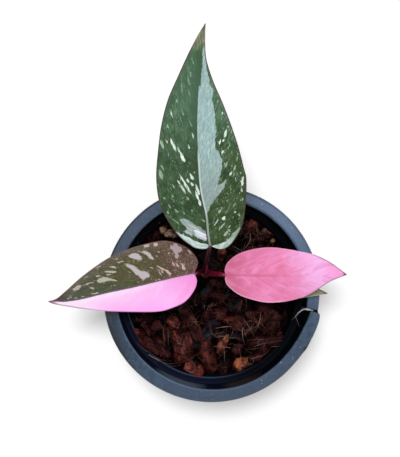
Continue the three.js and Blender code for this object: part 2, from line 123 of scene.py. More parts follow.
# Chips that stand out: x, y, length, width, thickness, yaw, tone. Tone 0 is charred and
# 1 is fresh orange wood.
KEY_CHIPS = [
    (-12.4, -15.5, 27, 6.4, 6.5, -60, 0.53), (-21.6, -16.9, 8, 6.4, 5.5, -10, 0.77),
    (-20.4, -23.8, 3.6, 3.2, 4, 30, 0.93), (-41.1, -23.5, 7, 5, 4, -20, 0.66),
    (-35, -30.4, 13, 6.6, 6, -48, 0.5), (-28.8, -31.6, 13, 6, 6, -57, 0.54),
    (-26.5, -24.9, 13, 2.6, 4, -84, 0.4), (-16.1, -32.2, 18.5, 11.5, 7, -82, 0.64),
    (-9.4, -43.4, 11, 7, 5.5, -25, 0.74), (-4.1, -26.1, 17, 7.6, 6, 56, 0.05),
    (0.3, -19.4, 8, 5.6, 5, 20, 0.04), (-2.3, -37, 18, 8.4, 6, -74, 0.62),
    (5.1, -12.3, 8, 6, 5, 60, 0.54), (12.2, -8.3, 10, 6, 5, -10, 0.1),
    (12.2, -16.3, 10.5, 5.8, 5.5, 0, 0.66), (30.4, -9.4, 11, 5, 5, -6, 0.54),
    (23.5, -14, 7, 6.2, 5, 20, 0.48), (33.6, -18, 14.5, 11.5, 6.5, 52, 0.42),
    (6.3, -29.8, 10.6, 5.6, 6, 84, 0.88), (31, -29, 20, 7, 6.5, 3, 0.4),
    (26, -38.2, 17, 5, 5, 40, 0.47), (16.6, -41.6, 8.9, 7.2, 6.2, 80, 0.88),
    (6.3, 21.6, 7.4, 5, 6.5, 80, 0.88), (-23, 33.4, 6.4, 5.6, 5.6, 30, 1.2),
    (-27.3, 35.7, 4, 3.6, 5, 15, 1.14), (32.7, 35.2, 6.4, 5.6, 5.6, 0, 1.12),
    (35.4, 29.1, 2.8, 2.4, 5, 40, 1.08), (24.1, 37.7, 10.4, 6.6, 5, 80, 0.73),
    (-39.4, -15.2, 11.5, 4.4, 4, 3, 0.46), (-31.4, -19.4, 7, 5.6, 5, 25, 0.5),
    (-37, -20.6, 10.5, 2.6, 3.5, -52, 0.56), (3.9, 5.2, 8.6, 5, 4.5, -10, 0.34),
    (19, -24.5, 9, 3.4, 4, 18, 0.42), (14.8, -33.6, 8.4, 5.6, 5, 70, 0.5),
    (15.4, -41.4, 6.4, 3.2, 7.8, 84, 0.99),
]

STEM = {"x": -3.4, "y": 11.5, "foot": 62.0, "top": 98.0, "radius": 2.9, "tip": 2.3, "sides": 28,
        "rings": 72, "swelling": 0.38}
STEM_NODES = [84.5, 88.5, 92.5, 96.0]

# Each stalk: its route from inside the stem to the blade, and (share of length, radius).
STALKS = {
    "top": {
        "route": [(-3.4, 12, 96), (-3.7, 14.2, 106), (-3.4, 17, 117), (-2.6, 21.4, 131),
                  (-1.9, 25.4, 142.5), (-1.5, 28.2, 147.2)],
        "radii": [(0, 2), (0.28, 1.8), (0.42, 1.1), (1, 0.92)],
    },
    "left": {
        "route": [(-3.4, 11.5, 91), (-6.4, 11.8, 98), (-8.2, 12.1, 108), (-8.4, 12.4, 115.5),
                  (-9.9, 12.7, 119.3)],
        "radii": [(0, 1.8), (0.35, 1.35), (1, 1.05)],
    },
    "right": {
        "route": [(-3.4, 11.5, 94), (-0.4, 11.6, 101), (2.4, 11.8, 110), (4.6, 12, 118),
                  (7.4, 12, 122.3)],
        "radii": [(0, 1.8), (0.35, 1.35), (1, 1.1)],
    },
    "small": {
        "route": [(-3.4, 10.8, 87.5), (0.6, 10.2, 90.5), (7.6, 9.9, 96), (14.5, 8.9, 101),
                  (21.3, 7.4, 103.4)],
        "radii": [(0, 1.3), (0.3, 1), (1, 0.85)],
    },
}
STALK_STEPS = 22
# How far each stalk runs on below its midrib, and its share of its end radius there.
RUN_ON = [(2.0, 0.95), (4.5, 0.85), (7.5, 0.7), (11.0, 0.5)]
LEFT_PALE_SPOT = (-7.3, 12.1, 113.5)  # a small pale spot on the left stalk
NEW_LEAF = {
    "route": [(-3.3, 10.2, 99), (-3.1, 12.1, 107.5), (-3, 14.4, 115), (-2.8, 17, 122.5)],
    "radii": [(0, 0.9), (0.3, 0.95), (0.8, 0.6), (1, 0.25)], "steps": 18,
}

# Each leaf: its midrib as four Bezier points, and its margins as (along, across) the blade.
LEAVES = {
    "top": {
        "midrib": [(-1.5, 28, 148), (-11.5, 65.5, 164), (-7.5, 105, 166), (-3.6, 136.5, 150)],
        "fold": (9, 6), "droop": 0.01, "wave": (0.5, 38, 1),
        "left": [(-1, 2.4), (0.3, 6), (2.4, 8.7), (9, 13.8), (18.5, 18.3), (25.9, 20.3),
                 (36.4, 20.4), (47.7, 18.8), (59.2, 17.1), (70.5, 14.4), (81.9, 10.3),
                 (95.8, 5.8), (105.9, 2.5)],
        "right": [(-2.5, 3), (-3.4, 6.9), (-0.5, 12.1), (7.2, 17.8), (18.6, 21.1), (31, 22.8),
                  (38.1, 21.9), (49, 19.6), (59.7, 16.2), (70.6, 11.8), (81.3, 6.6),
                  (91.8, 2.6), (102, 0.9)],
        "grid": (280, 104), "veins": 13, "vein_depth": 0.035,
    },
    "left": {
        "midrib": [(-9.5, 12.7, 120), (-30.5, 9.2, 124), (-58.7, -0.7, 118.7), (-88.7, -3.1, 109)],
        "fold": (30, 5), "droop": 0.006, "wave": (0.4, 30, 0.6),
        "left": [(-0.4, 4.7), (2.3, 9.9), (8.2, 15.1), (16.1, 17.1), (22.8, 17), (35, 13.8),
                 (51.5, 9.4), (67.2, 4.8), (78.4, 1.7)],
        "right": [(-2.8, 4.8), (-2, 9.1), (2.1, 14.6), (8.8, 19), (15.7, 20.5), (30.2, 20.2),
                  (44.5, 17.3), (59.2, 11.3), (70.3, 4.9), (77.1, 1)],
        "grid": (230, 96), "veins": 11, "vein_depth": 0.03,
    },
    "right": {
        "midrib": [(7, 12, 123), (27.5, 11.8, 130), (47, 11.5, 124), (72.4, 11.5, 113)],
        "fold": (-4, -6), "droop": 0.006, "wave": (0.3, 26, 0.9),
        "left": [(-0.4, 3), (1.3, 6.9), (7, 11.3), (15.6, 13.9), (24.3, 14.7), (33.2, 13.8),
                 (42.5, 12.2), (48.7, 10.8), (56.5, 7.4), (62.3, 3.8)],
        "right": [(-0.2, 2.7), (1.3, 5.9), (6.9, 10.2), (13.3, 12.5), (21.5, 14.2),
                  (30.5, 13.9), (39.5, 12.2), (45.7, 10), (51.8, 6.7), (58.1, 3.2)],
        "grid": (180, 84), "veins": 10, "vein_depth": 0.04,
    },
    "small": {
        "midrib": [(21, 7.4, 104), (34, 6.6, 108), (50, 2.6, 108), (63.9, 0.6, 103)],
        "fold": (10, 10), "droop": 0.01, "wave": (0, 26, 0),
        "left": [(-0.6, 2), (2, 4.6), (9, 6.6), (18, 6.4), (27, 4.5), (33.5, 2.8), (38.5, 1.6)],
        "right": [(-0.6, 2), (2, 4.6), (9, 6.8), (18, 7), (27, 5.4), (33.5, 3.4), (39, 1.6)],
        "grid": (100, 48), "veins": 8, "vein_depth": 0.06,
    },
}

# The large pale sector beside a midrib, as (along, across). Below the step its straight side
# is the midrib.
SECTORS = {
    "top": [(99, -0.2), (97.5, -1.1), (86.5, -3.1), (81.5, -4.8), (78.5, -5.4), (77, -6.9),
            (74.5, -7), (71.5, -6.6), (67, -8), (62, -8.6), (57, -9.2), (52, -8.6), (48, -8.6),
            (47, -10), (42.5, -11.6), (38.5, -11.5), (34, -9.7), (30, -8.8), (31, -11),
            (33, -13.7), (28.5, -11.6), (25, -8.4), (22, -5.4), (19, -3.3), (16, -1.7), (13, -0.7),
            (13, 1), (77.5, 1), (78.5, -0.8), (88, -0.9)],
}

# Pale patches on each blade: brightness, then the outline as (along, across).
PATCHES = {
    "top": [
        (0.15, [(16.3, 12), (16.5, 9.6), (15.2, 7.4), (13.8, 6.4), (12.4, 5), (11.4, 4),
                (10.9, 2.8), (9.4, 1.8), (8, 0.5), (6.2, 0.5), (6.6, 1.5), (8.3, 2.9), (9.4, 4.6),
                (9.9, 6), (8.3, 5.4), (7.2, 5.6), (8.2, 7.2), (7.1, 7.5), (8.9, 9.3), (10.4, 11),
                (11.2, 9.2), (12.2, 9.4), (14, 10.7)]),
        (0.25, [(10.4, 6.5), (9.8, 4.5), (8.7, 2.7), (6.9, 1.3), (6.5, 0.5), (2.9, 0.9),
                (4.1, 2.6), (5, 4), (6.4, 5.4), (7.4, 6), (8.4, 5.8)]),
        (0.85, [(11, 14.6), (9, 11.6), (7.3, 9.5), (5.3, 7.5), (3.4, 5), (1.8, 2.5), (0.8, 0.5),
                (-1.5, 1), (-2.5, 4), (-2, 8), (2, 12), (7, 16)]),
        (0.75, [(-0.6, -0.5), (-0.2, -3), (-0.3, -5.5), (0.4, -8.5), (2, -11), (4.2, -13.4),
                (6.4, -16.2), (4.6, -17), (1, -15), (-3, -9), (-4, -3), (-2, -0.5)]),
    ],
    "left": [
        (0.5, [(31.7, -16.8), (28.5, -17.6), (26, -16.6), (24.4, -14), (25, -12.8), (27, -13.3),
               (30.5, -15.2)]),
        (0.5, [(24.6, -17.2), (22, -17.2), (20, -15.2), (18.8, -12), (19.4, -11.3), (21, -12.8),
               (21.7, -14.5), (23, -15.8)]),
        (0.5, [(34.7, -13.2), (32.5, -12.4), (30, -11), (28.3, -9.3), (27.3, -7.8), (26, -7),
               (25, -7), (22.8, -4.8), (22.8, -3.4), (26, -2.7), (27.2, -2.2), (28.2, -4.3),
               (30.2, -6.4), (30.8, -8), (31.7, -9.4), (33.5, -11.2)]),
        (0.5, [(9.3, -17), (8, -16.2), (7, -17.4), (5.8, -17.4), (5.8, -16), (4.2, -14.6),
               (4.2, -12.4), (6, -12.5), (6.3, -10), (7.6, -9.2), (8.2, -10.5), (7.8, -12),
               (8.8, -14.5), (9.7, -15.8)]),
        (0.8, [(17.2, -20.2), (15, -19.9), (14.8, -18.6), (16, -17.8), (17.3, -18.9)]),
        (0.7, [(22.6, -20), (19, -20.3), (19.8, -18.9), (22, -18.8)]),
        (0.8, [(14.8, -4.8), (13, -4.2), (11.8, -2.5), (12.4, -1.3), (13.7, -3)]),
        (0.8, [(5.8, -6.3), (4.4, -5.8), (4.3, -2.9), (5.6, -2.8)]),
        (0.75, [(52.2, -7.9), (49.5, -8.3), (47.5, -9), (46.3, -8.3), (43.5, -7.3), (40.3, -5),
                (44, -5.9), (46.5, -6.3), (48, -5.6), (50.5, -6.2)]),
        (0.7, [(66.8, -4.7), (65, -6.1), (62, -6.8), (60.8, -6), (62.5, -4.9), (65, -4.2)]),
    ],
    "right": [],
    "small": [(0.7, [(39, 0.6), (30, 1), (14, 1.5), (14, 4.6), (28, 3.2), (35, 2)])],
}

# Single pale streaks: along, across, length, width, brightness, and the heading away from the
# midrib's own, in degrees. One without a heading lies along its side vein.
STREAKS = {
    "top": [
        (64.5, 12.5, 4, 0.8, 0.8), (58.5, 14, 2, 0.6, 0.8), (65, 7, 3, 0.6, 0.45),
        (50.5, 11.5, 7, 1.3, 1), (44.7, 7.2, 5, 1.9, 1), (47.8, 8.6, 3.5, 0.9, 0.8),
        (54.5, 2, 3, 0.6, 0.8), (51, 17, 5, 1.3, 0.6), (52, 14.5, 2, 0.6, 0.7),
        (49.5, 4, 2, 0.7, 0.8), (37.5, 18, 4.6, 2, 0.55, 12), (40.5, 17, 3, 0.8, 0.6),
        (35.5, 3.5, 3.4, 1.2, 0.95), (37.5, 2, 1.4, 0.8, 0.7), (55.5, -13.5, 4.4, 1.3, 1, 14),
        (51.5, -11, 2.5, 0.9, 1, 14), (52, -12.5, 1.4, 0.9, 0.9), (46.5, -12, 1.8, 1.2, 0.9),
        (49, -15, 3.5, 0.7, 0.5), (40, -13.5, 3.5, 1.1, 0.55), (38, -17.5, 3.4, 0.9, 0.6),
        (35.5, -15.5, 2.5, 1.1, 0.8), (65.5, -12, 1.2, 0.7, 0.8), (68.5, -9, 3.5, 0.5, 0.5),
        (32.4, 6.8, 10.5, 1.2, 1, 26), (31, 8.6, 7.5, 1, 0.8, 28), (34, 5.5, 2.4, 1.2, 0.85),
        (32, 3.5, 2, 1.1, 0.9), (29, 1.2, 5.5, 1.4, 1, 12), (26.5, 1.7, 5, 1.3, 1, 12),
        (23.2, 0.9, 4.4, 1.2, 1, 9), (23, 15.5, 3, 1, 0.4), (20.5, 12.5, 2.4, 1.2, 0.45),
        (24, 9.5, 1.8, 0.8, 0.4), (25.5, 6.5, 1.8, 0.9, 0.65), (27.5, 13.5, 1.8, 0.9, 0.38),
        (27, 17.5, 1.8, 0.8, 0.5), (20.5, 17, 1.8, 0.9, 0.55), (17, 15, 8, 0.6, 0.5, 46),
        (19.5, 5, 1.2, 0.9, 0.45), (13.5, 0.6, 2.5, 0.7, 0.55), (32, 12.5, 2.2, 1.1, 0.45),
        (31, -20.8, 6, 1.2, 0.85, 10), (26.5, -20, 2.6, 1.1, 0.85, 10), (21.5, -20, 2, 0.9, 0.6),
        (17.5, -8.5, 3.6, 1.1, 0.6), (16.5, -11.5, 3.4, 0.5, 0.5), (13, -9.5, 2.4, 1.9, 0.95),
        (15, -15.5, 1.2, 1.1, 0.85), (11.5, -5.5, 4, 0.6, 0.7, 44), (8.5, -7.5, 5, 0.6, 0.65, 46),
        (8, -11.5, 2, 1.1, 0.85), (4.5, -9, 3.4, 1.5, 0.6), (3.5, -13, 3, 0.9, 0.6),
        (22, -12.5, 1.2, 0.9, 0.55), (19, -15.5, 2.4, 0.6, 0.45), (90, 4, 3.4, 0.6, 0.45),
        (80, 5, 4.5, 0.6, 0.45), (76, 8, 3.4, 0.6, 0.4), (70, 10, 1.6, 0.8, 0.6),
        (84, 4.6, 5, 0.5, 0.42), (74, 4.4, 5, 0.5, 0.42), (98, 2.4, 4, 0.7, 0.5, 4),
        (101, 1.2, 3, 0.5, 0.4, 2), (60, 3, 3, 0.6, 0.5), (43, -18.8, 3, 0.8, 0.55, 8),
        (57, -16.5, 3, 0.6, 0.5, 10),
    ],
    "left": [
        (16.5, -6.5, 4.6, 1, 0.8, 45), (17.4, -4.4, 3.6, 0.6, 0.7, 74),
        (16.2, -4.6, 2.2, 0.5, 0.6, 60), (9.8, -8, 3.2, 0.6, 0.7, 80),
        (8, -6.2, 3, 0.7, 0.7, 68), (7.2, -8, 1.7, 0.5, 0.6, 70), (9.2, -6.2, 2, 0.4, 0.6, 60),
        (0.3, -11.6, 3, 1, 0.85, 55), (36.7, -14.6, 4, 0.7, 0.8, 2), (41, -12.8, 4.4, 1, 0.85, 18),
        (43, -10.7, 7, 1.4, 0.85, 14), (50.5, -9.8, 2.6, 0.9, 0.8, 5),
        (56.3, -6.9, 11, 0.5, 0.7, -10), (55.2, -4, 3, 0.8, 0.65, 20),
        (54.2, -1, 3.8, 0.7, 0.7, 0), (68.5, -1.2, 1.4, 1, 0.7), (70, -0.4, 1.4, 0.6, 0.6, 0),
        (61.5, -0.5, 1.8, 0.6, 0.6, 0), (65.5, -0.3, 2, 0.4, 0.6, 0), (44.5, -9.4, 3, 0.5, 0.6, 12),
        (15.5, -14.5, 1.2, 1, 0.8), (29.5, -13, 1.2, 0.8, 0.6), (11, -13, 1.2, 0.7, 0.6),
        (17, -13, 1.2, 0.7, 0.6), (25.5, -17.5, 1.2, 0.6, 0.5), (19, -0.7, 3, 0.5, 0.7, 4),
        (49, -14.6, 2.4, 0.5, 0.5, 0), (57, -10.5, 2.4, 0.5, 0.5, -6), (13, -1, 1.6, 0.5, 0.6, 30),
        (33, -8.2, 1.6, 0.5, 0.55), (21, -7.6, 1.8, 0.5, 0.55), (38, -16.6, 1.4, 0.6, 0.5, 0),
    ],
    "right": [],
    "small": [(33, 1.5, 3, 0.5, 0.4)],
}

BLADE_TOP = 0.45  # the upper face lies this far above the blade's middle layer
BLADE_THICKNESS = 0.62
RIB_DEPTH = 1.15
ROW_LEAN = 1.5  # above 1, the grid's rows sweep forwards

# Bends of a midrib sideways within its blade: where, how far along it spreads, and how far.
RIB_BENDS = {"top": [(16, 10, -1.45), (40, 13, -0.55)]}

# For each blade, where a side vein starts, as a share of the midrib, and how far it runs
# forwards for each step outwards. Veins in the base lobes run back.
VEIN_SLOPES = {
    "top": [(-0.3, -1.2), (-0.06, -0.5), (0, 0.7), (0.11, 1.05), (0.27, 1.7), (0.45, 2.4),
            (0.7, 3.4), (1.3, 4.5)],
    "left": [(-0.3, -1.2), (-0.06, -0.6), (0, 0), (0.1, 0.4), (0.25, 0.8), (0.4, 1.3),
             (0.55, 2.4), (0.7, 4), (1.3, 6)],
    "right": [(-0.3, -1.2), (-0.06, -0.6), (0, 0.15), (0.11, 0.4), (0.27, 0.7), (0.45, 1.15),
              (0.7, 2), (1.3, 3.5)],
    "small": [(-0.3, -1.2), (-0.06, -0.5), (0, 0.7), (0.3, 1.8), (0.7, 3.4), (1.3, 4.5)],
}
VEIN_BOW = {"top": 1.2, "left": 1.1, "right": 3.2, "small": 0.6}  # extra slope at the margin

# Loose threads on the bed: points as (x, y, height above the bed), and radius.
THREADS = [
    ([(22.3, 33.7, 5), (22.3, 29.7, 6), (18.6, 23.9, 5)], 0.2),
    ([(12, 26.2, 5), (15, 24.8, 6), (18.3, 22.8, 5)], 0.16),
    ([(2.8, -20.5, 6), (7.5, -19.6, 7), (12, -19.6, 6)], 0.16),
    ([(18.3, -15, 5), (21.6, -20, 6), (24.6, -25.4, 5)], 0.18),
    ([(28.6, -11.6, 5), (27.5, -17, 6), (25.2, -22.5, 5)], 0.15),
    ([(17.7, -20.8, 5.6), (17.9, -25.6, 6.4), (19.1, -30, 6)], 0.18),
    ([(7.7, -33.4, 7), (7.5, -36.5, 7), (7.7, -39.7, 5)], 0.17),
    ([(1.6, -30.6, 7), (6.4, -31, 7.6), (11.4, -31.8, 5.5)], 0.16),
    ([(33.7, -30.8, 7.5), (36.6, -30.6, 7.5), (39.5, -30.9, 6)], 0.16),
    ([(-27.4, -19.2, 6), (-26.8, -25, 6.6), (-26.2, -30.6, 6)], 0.17),
    ([(-24.6, -19.8, 6), (-24.3, -25.6, 6.6), (-24.4, -30, 6)], 0.14),
    ([(-42.4, -28.6, 4.8), (-39.4, -31.4, 5), (-36.1, -33.7, 4.6)], 0.2),
    ([(-35.6, -35, 6), (-29.7, -38.2, 6.5), (-25.1, -39.9, 6.5), (-18.5, -39.8, 6)], 0.22),
    ([(-26, -39.4, 6.4), (-21.5, -41.6, 6.2), (-17.4, -41, 6)], 0.15),
    ([(-31, -37, 6.2), (-26.5, -38.2, 6.4), (-22, -38.6, 6)], 0.12),
]
# A thin root that lies through the split rim and down into the bed, and its branch.
SPLIT_ROOT = [(56.2, -9.3, 98.6), (55.4, -9.1, 99.9), (54.2, -8.6, 101), (51.4, -8.3, 100.6),
              (49, -10, 98.6), (47, -13, 95.4), (45.4, -15.6, 91)]
SPLIT_ROOT_RADII = (0.44, 0.46, 0.44, 0.42, 0.4, 0.32, 0.15)
SPLIT_ROOTLET = [(47.2, -13.4, 94.8), (48.8, -17, 93.6), (50.2, -20.4, 92)]
SPLIT_ROOTLET_RADII = (0.22, 0.18, 0.1)

# The camera's place is in metres. Each lamp has its bearing and tilt in degrees, its distance and
# its width in metres, and its tint; a glossy one only shines in surfaces, and another lights them.
CAMERA = {"place": (-0.00637, 0.03625, 0.5216), "lens": 60, "sensor": 36, "near": 0.01}
LAMPS_AIM = (0, 0.02, 0.1)
LAMPS = {
    "soft_lamp": {"bearing": 109, "tilt": 10.7, "away": 0.75, "size": 0.12, "tint": (1, 1, 1),
                  "glossy": False},
    "window_light": {"bearing": 50, "tilt": 26, "away": 1.1, "size": 0.62,
                     "tint": (0.62, 0.74, 1), "glossy": True},
}


def shade(code):
    """A colour written as six hex digits, as the linear values that Blender works with."""
    parts = [int(code[i:i + 2], 16) / 255 for i in (0, 2, 4)]
    linear = [c / 12.92 if c <= 0.04045 else ((c + 0.055) / 1.055) ** 2.4 for c in parts]
    return (*linear, 1.0)


def colour_setting(name, code, description):
    return FloatVectorProperty(name=name, subtype="COLOR", size=4, min=0, max=1,
                               default=shade(code), description=description)


# ---- Settings --------------------------------------------------------------------------

class PotSettings(PropertyGroup):
    sides: IntProperty(name="Sides", default=192, min=32, max=512,
                       description="Flat sides round the pot")
    plastic: colour_setting("Plastic", "1a2a3d", "Clean plastic under the dust")
    # Near-black inside colour: painted shade for the deep inside of the pot.
    inside: colour_setting("Inside", "020305", "Damp plastic inside the pot")
    dust: colour_setting("Dust", "2d4256", "Weathered bloom on the rim")
    scratch: colour_setting("Scratches", "5d7184", "Scuffs that caught dust")


class BedSettings(PropertyGroup):
    small_chips: IntProperty(name="Small Chips", default=300, min=0, max=800,
                             description="Slivers between the large chips")
    crumbs: IntProperty(name="Crumbs", default=380, min=0, max=3000,
                        description="Fine grains of bark and charcoal")
    fibres: IntProperty(name="Fibres", default=440, min=0, max=800,
                        description="Loose threads of husk on the bed")
    damp: colour_setting("Damp Mix", "100504", "Fine mix between the chips")
    fibre: colour_setting("Fibre", "644e46", "Pale husk threads")


class StalkSettings(PropertyGroup):
    crimson: colour_setting("Crimson", "8c1236", "Bright side of the stalks")
    maroon: colour_setting("Maroon", "3a0a18", "Dark side of the stalks and stem")
    dusky: colour_setting("Dusky", "2c1013", "Stalk of the green leaf")


class LeafSettings(PropertyGroup):
    thickness: FloatProperty(name="Thickness", default=BLADE_THICKNESS * MM, min=0.2 * MM,
                             max=2 * MM, unit="LENGTH", description="Thickness of a blade")
    green: colour_setting("Green", "20331a", "Deep green of the mature leaf")
    green_light: colour_setting("Light Green", "344f36", "Lighter green between the veins")
    pale: colour_setting("Pale Sector", "7a908e", "Grey-white sector of the green leaf")
    white: colour_setting("White", "bac6bc", "Whitest streaks")
    margin: colour_setting("Margin", "3c2f2a", "Thin maroon margin")
    bronze: colour_setting("Bronze", "4a332d", "Brown base of the half-pink leaf")
    bronze_green: colour_setting("Bronze Green", "3f3a24", "Olive middle of that leaf")
    bronze_grey: colour_setting("Grey Green", "3a3e30", "Grey-green end of that leaf")
    blush: colour_setting("Blush", "a1979d", "Mauve blotches")
    cream: colour_setting("Cream", "98958a", "Cream flecks")
    pink: colour_setting("Pink", "c0678f", "Pink leaf")
    pink_pale: colour_setting("Pale Pink", "d29ccb", "Pale pink towards the tip")
    pink_deep: colour_setting("Deep Pink", "a34f69", "Deep pink near the stalk")
    rose: colour_setting("Rose", "d078b6", "Pink half of the two-coloured leaf")
    rose_pale: colour_setting("Pale Rose", "d0bcd2", "Its palest end")


class StageSettings(PropertyGroup):
    floor: colour_setting("Floor", "e8e8e8", "Plain floor")
    sky: FloatProperty(name="Sky", default=0.76, min=0, max=4,
                       description="Strength of the even light from all round")
    lamp: FloatProperty(name="Lamp", default=4.8, min=0, max=100, unit="POWER",
                        description="Power of the soft lamp")
    window: FloatProperty(name="Window", default=6.5, min=0, max=100, unit="POWER",
                          description="Power of the wide cool light that shines on the rim")


def settings(kind):
    return getattr(bpy.context.scene, "philodendron_" + kind)


# ---- Modelling helpers -----------------------------------------------------------------

def clear_selection():
    """Leaves edit mode and selects nothing."""
    active = bpy.context.view_layer.objects.active
    if active and active.mode != "OBJECT":
        bpy.ops.object.mode_set(mode="OBJECT")
    bpy.ops.object.select_all(action="DESELECT")


def take(piece):
    """Makes one object the only selected and the active one."""
    clear_selection()
    piece.select_set(True)
    bpy.context.view_layer.objects.active = piece


def pick(piece, test):
    """In edit mode, selects the vertices whose place passes the test."""
    mesh = bmesh.from_edit_mesh(piece.data)
    for vertex in mesh.verts:
        vertex.select = bool(test(vertex.co))
    mesh.select_flush_mode()
    bmesh.update_edit_mesh(piece.data)


def rename(piece, name):
    """Names an object and its mesh."""
    piece.name = name
    piece.data.name = name
    return piece


def drop(pieces):
    """Removes models and cutters that have done their work."""
    for piece in pieces:
        bpy.data.objects.remove(piece, do_unlink=True)


def join(pieces, name):
    """Joins several objects into the first and names it."""
    take(pieces[0])
    for piece in pieces[1:]:
        piece.select_set(True)
    if len(pieces) > 1:
        bpy.ops.object.join()
    return rename(pieces[0], name)


def apply_modifier(piece, kind, **options):
    """Adds a modifier, sets it and applies it."""
    take(piece)
    made = piece.modifiers.new(kind.title(), kind)
    for option, value in options.items():
        setattr(made, option, value)
    bpy.ops.object.modifier_apply(modifier=made.name)


def apply_place(piece):
    take(piece)
    bpy.ops.object.transform_apply(location=True, rotation=True, scale=True)


def smooth(piece, degrees):
    take(piece)
    bpy.ops.object.shade_smooth_by_angle(angle=math.radians(degrees))


def read_points(mesh):
    """The vertices of a mesh as rows of x, y, z."""
    flat = np.empty(len(mesh.vertices) * 3)
    mesh.vertices.foreach_get("co", flat)
    return flat.reshape(-1, 3)


def write_points(mesh, points):
    mesh.vertices.foreach_set("co", np.ascontiguousarray(points, dtype=float).ravel())
    mesh.update()


def paint(mesh, name, values):
    """Keeps one number for each vertex, for the materials to read."""
    layer = mesh.attributes.get(name) or mesh.attributes.new(name, "FLOAT", "POINT")
    layer.data.foreach_set("value", np.ascontiguousarray(values, dtype=float).ravel())


def bind(piece, node, material=None):
    """Ties a finished piece to the frame, and gives it its material if it has none yet."""
    if material:
        piece.data.materials.append(material)
    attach(piece, "root")
    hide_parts(node)
    return piece


def scatter(index, trait):
    """A repeatable value from 0 to 1 for one item and one of its traits."""
    value = math.sin(index * 12.9898 + trait * 78.233) * 43758.5453
    return value - math.floor(value)


def lerp(low, high, at):
    return low + (high - low) * at


def smoothstep(value, low, high):
    at = np.clip((value - low) / (high - low), 0, 1)
    return at * at * (3 - 2 * at)


def bell(value, width):
    """1 at zero, fading on both sides over about the width."""
    return np.exp(-(value / width) ** 2)


def path_run(points):
    """How far along a line of points each one lies."""
    return np.concatenate([[0], np.cumsum(np.linalg.norm(np.diff(points, axis=0), axis=1))])


def polar(radius, degrees, height):
    """A place round the pot's axis, from millimetres, in metres."""
    angle = math.radians(degrees)
    return Vector((radius * math.cos(angle), radius * math.sin(angle), height)) * MM


def start_ring(sides, radius, place):
    """A filled circle at a place, in edit mode with its rim selected."""
    clear_selection()
    bpy.ops.mesh.primitive_circle_add(vertices=sides, radius=radius * MM)
    piece = bpy.context.object
    bpy.ops.object.mode_set(mode="EDIT")
    bpy.ops.transform.translate(value=place)
    bpy.ops.mesh.edge_face_add()
    bpy.ops.mesh.select_mode(type="EDGE")
    bpy.ops.mesh.region_to_loop()
    return piece


def next_ring(rise, grow, centre=(0, 0, 0)):
    """Extrudes the selected ring, raises the new one and sizes it about a centre."""
    bpy.ops.mesh.extrude_edges_move(TRANSFORM_OT_translate={"value": (0, 0, rise * MM)})
    bpy.ops.transform.resize(value=(grow, grow, 1), center_override=centre)


def close_shell(piece, name):
    """Closes the last ring, turns every face outwards and leaves edit mode."""
    bpy.ops.mesh.edge_face_add()
    bpy.ops.mesh.select_all(action="SELECT")
    bpy.ops.mesh.normals_make_consistent(inside=False)
    bpy.ops.mesh.select_mode(type="VERT")
    bpy.ops.object.mode_set(mode="OBJECT")
    return rename(piece, name)


def smooth_route(route, count):
    """Points evenly set along a smooth line through the route."""
    knots = np.array([route[0], *route, route[-1]], dtype=float)
    places = []
    for at in np.linspace(0, len(route) - 1 - 1e-9, count):
        i = int(at)
        t = at - i
        a, b, c, d = knots[i:i + 4]
        places.append(0.5 * ((2 * b) + (c - a) * t + (2 * a - 5 * b + 4 * c - d) * t ** 2
                             + (3 * b - a - 3 * c + d) * t ** 3))
    return places


def thicknesses(table, count):
    """The radius at even steps of a length, from rows of (share of length, radius)."""
    shares, radii = zip(*table)
    return [float(np.interp(at, shares, radii)) for at in np.linspace(0, 1, count)]


def tube(name, lines, sides):
    """Round threads along smooth lines of (points, radii), as one mesh."""
    clear_selection()
    bpy.ops.curve.primitive_bezier_curve_add()
    curve = bpy.context.object.data
    curve.splines.clear()
    for points, radii in lines:
        spline = curve.splines.new("BEZIER")
        spline.bezier_points.add(len(points) - 1)
        for knot, place, radius in zip(spline.bezier_points, points, radii):
            knot.co = Vector(place) * MM
            knot.radius = radius
            knot.handle_left_type = knot.handle_right_type = "AUTO"
    curve.dimensions = "3D"
    curve.bevel_depth = MM
    curve.bevel_resolution = sides
    curve.resolution_u = 5
    curve.use_fill_caps = True
    bpy.ops.object.convert(target="MESH")
    piece = rename(bpy.context.object, name)
    smooth(piece, 60)
    return piece


# ---- Shader building -------------------------------------------------------------------

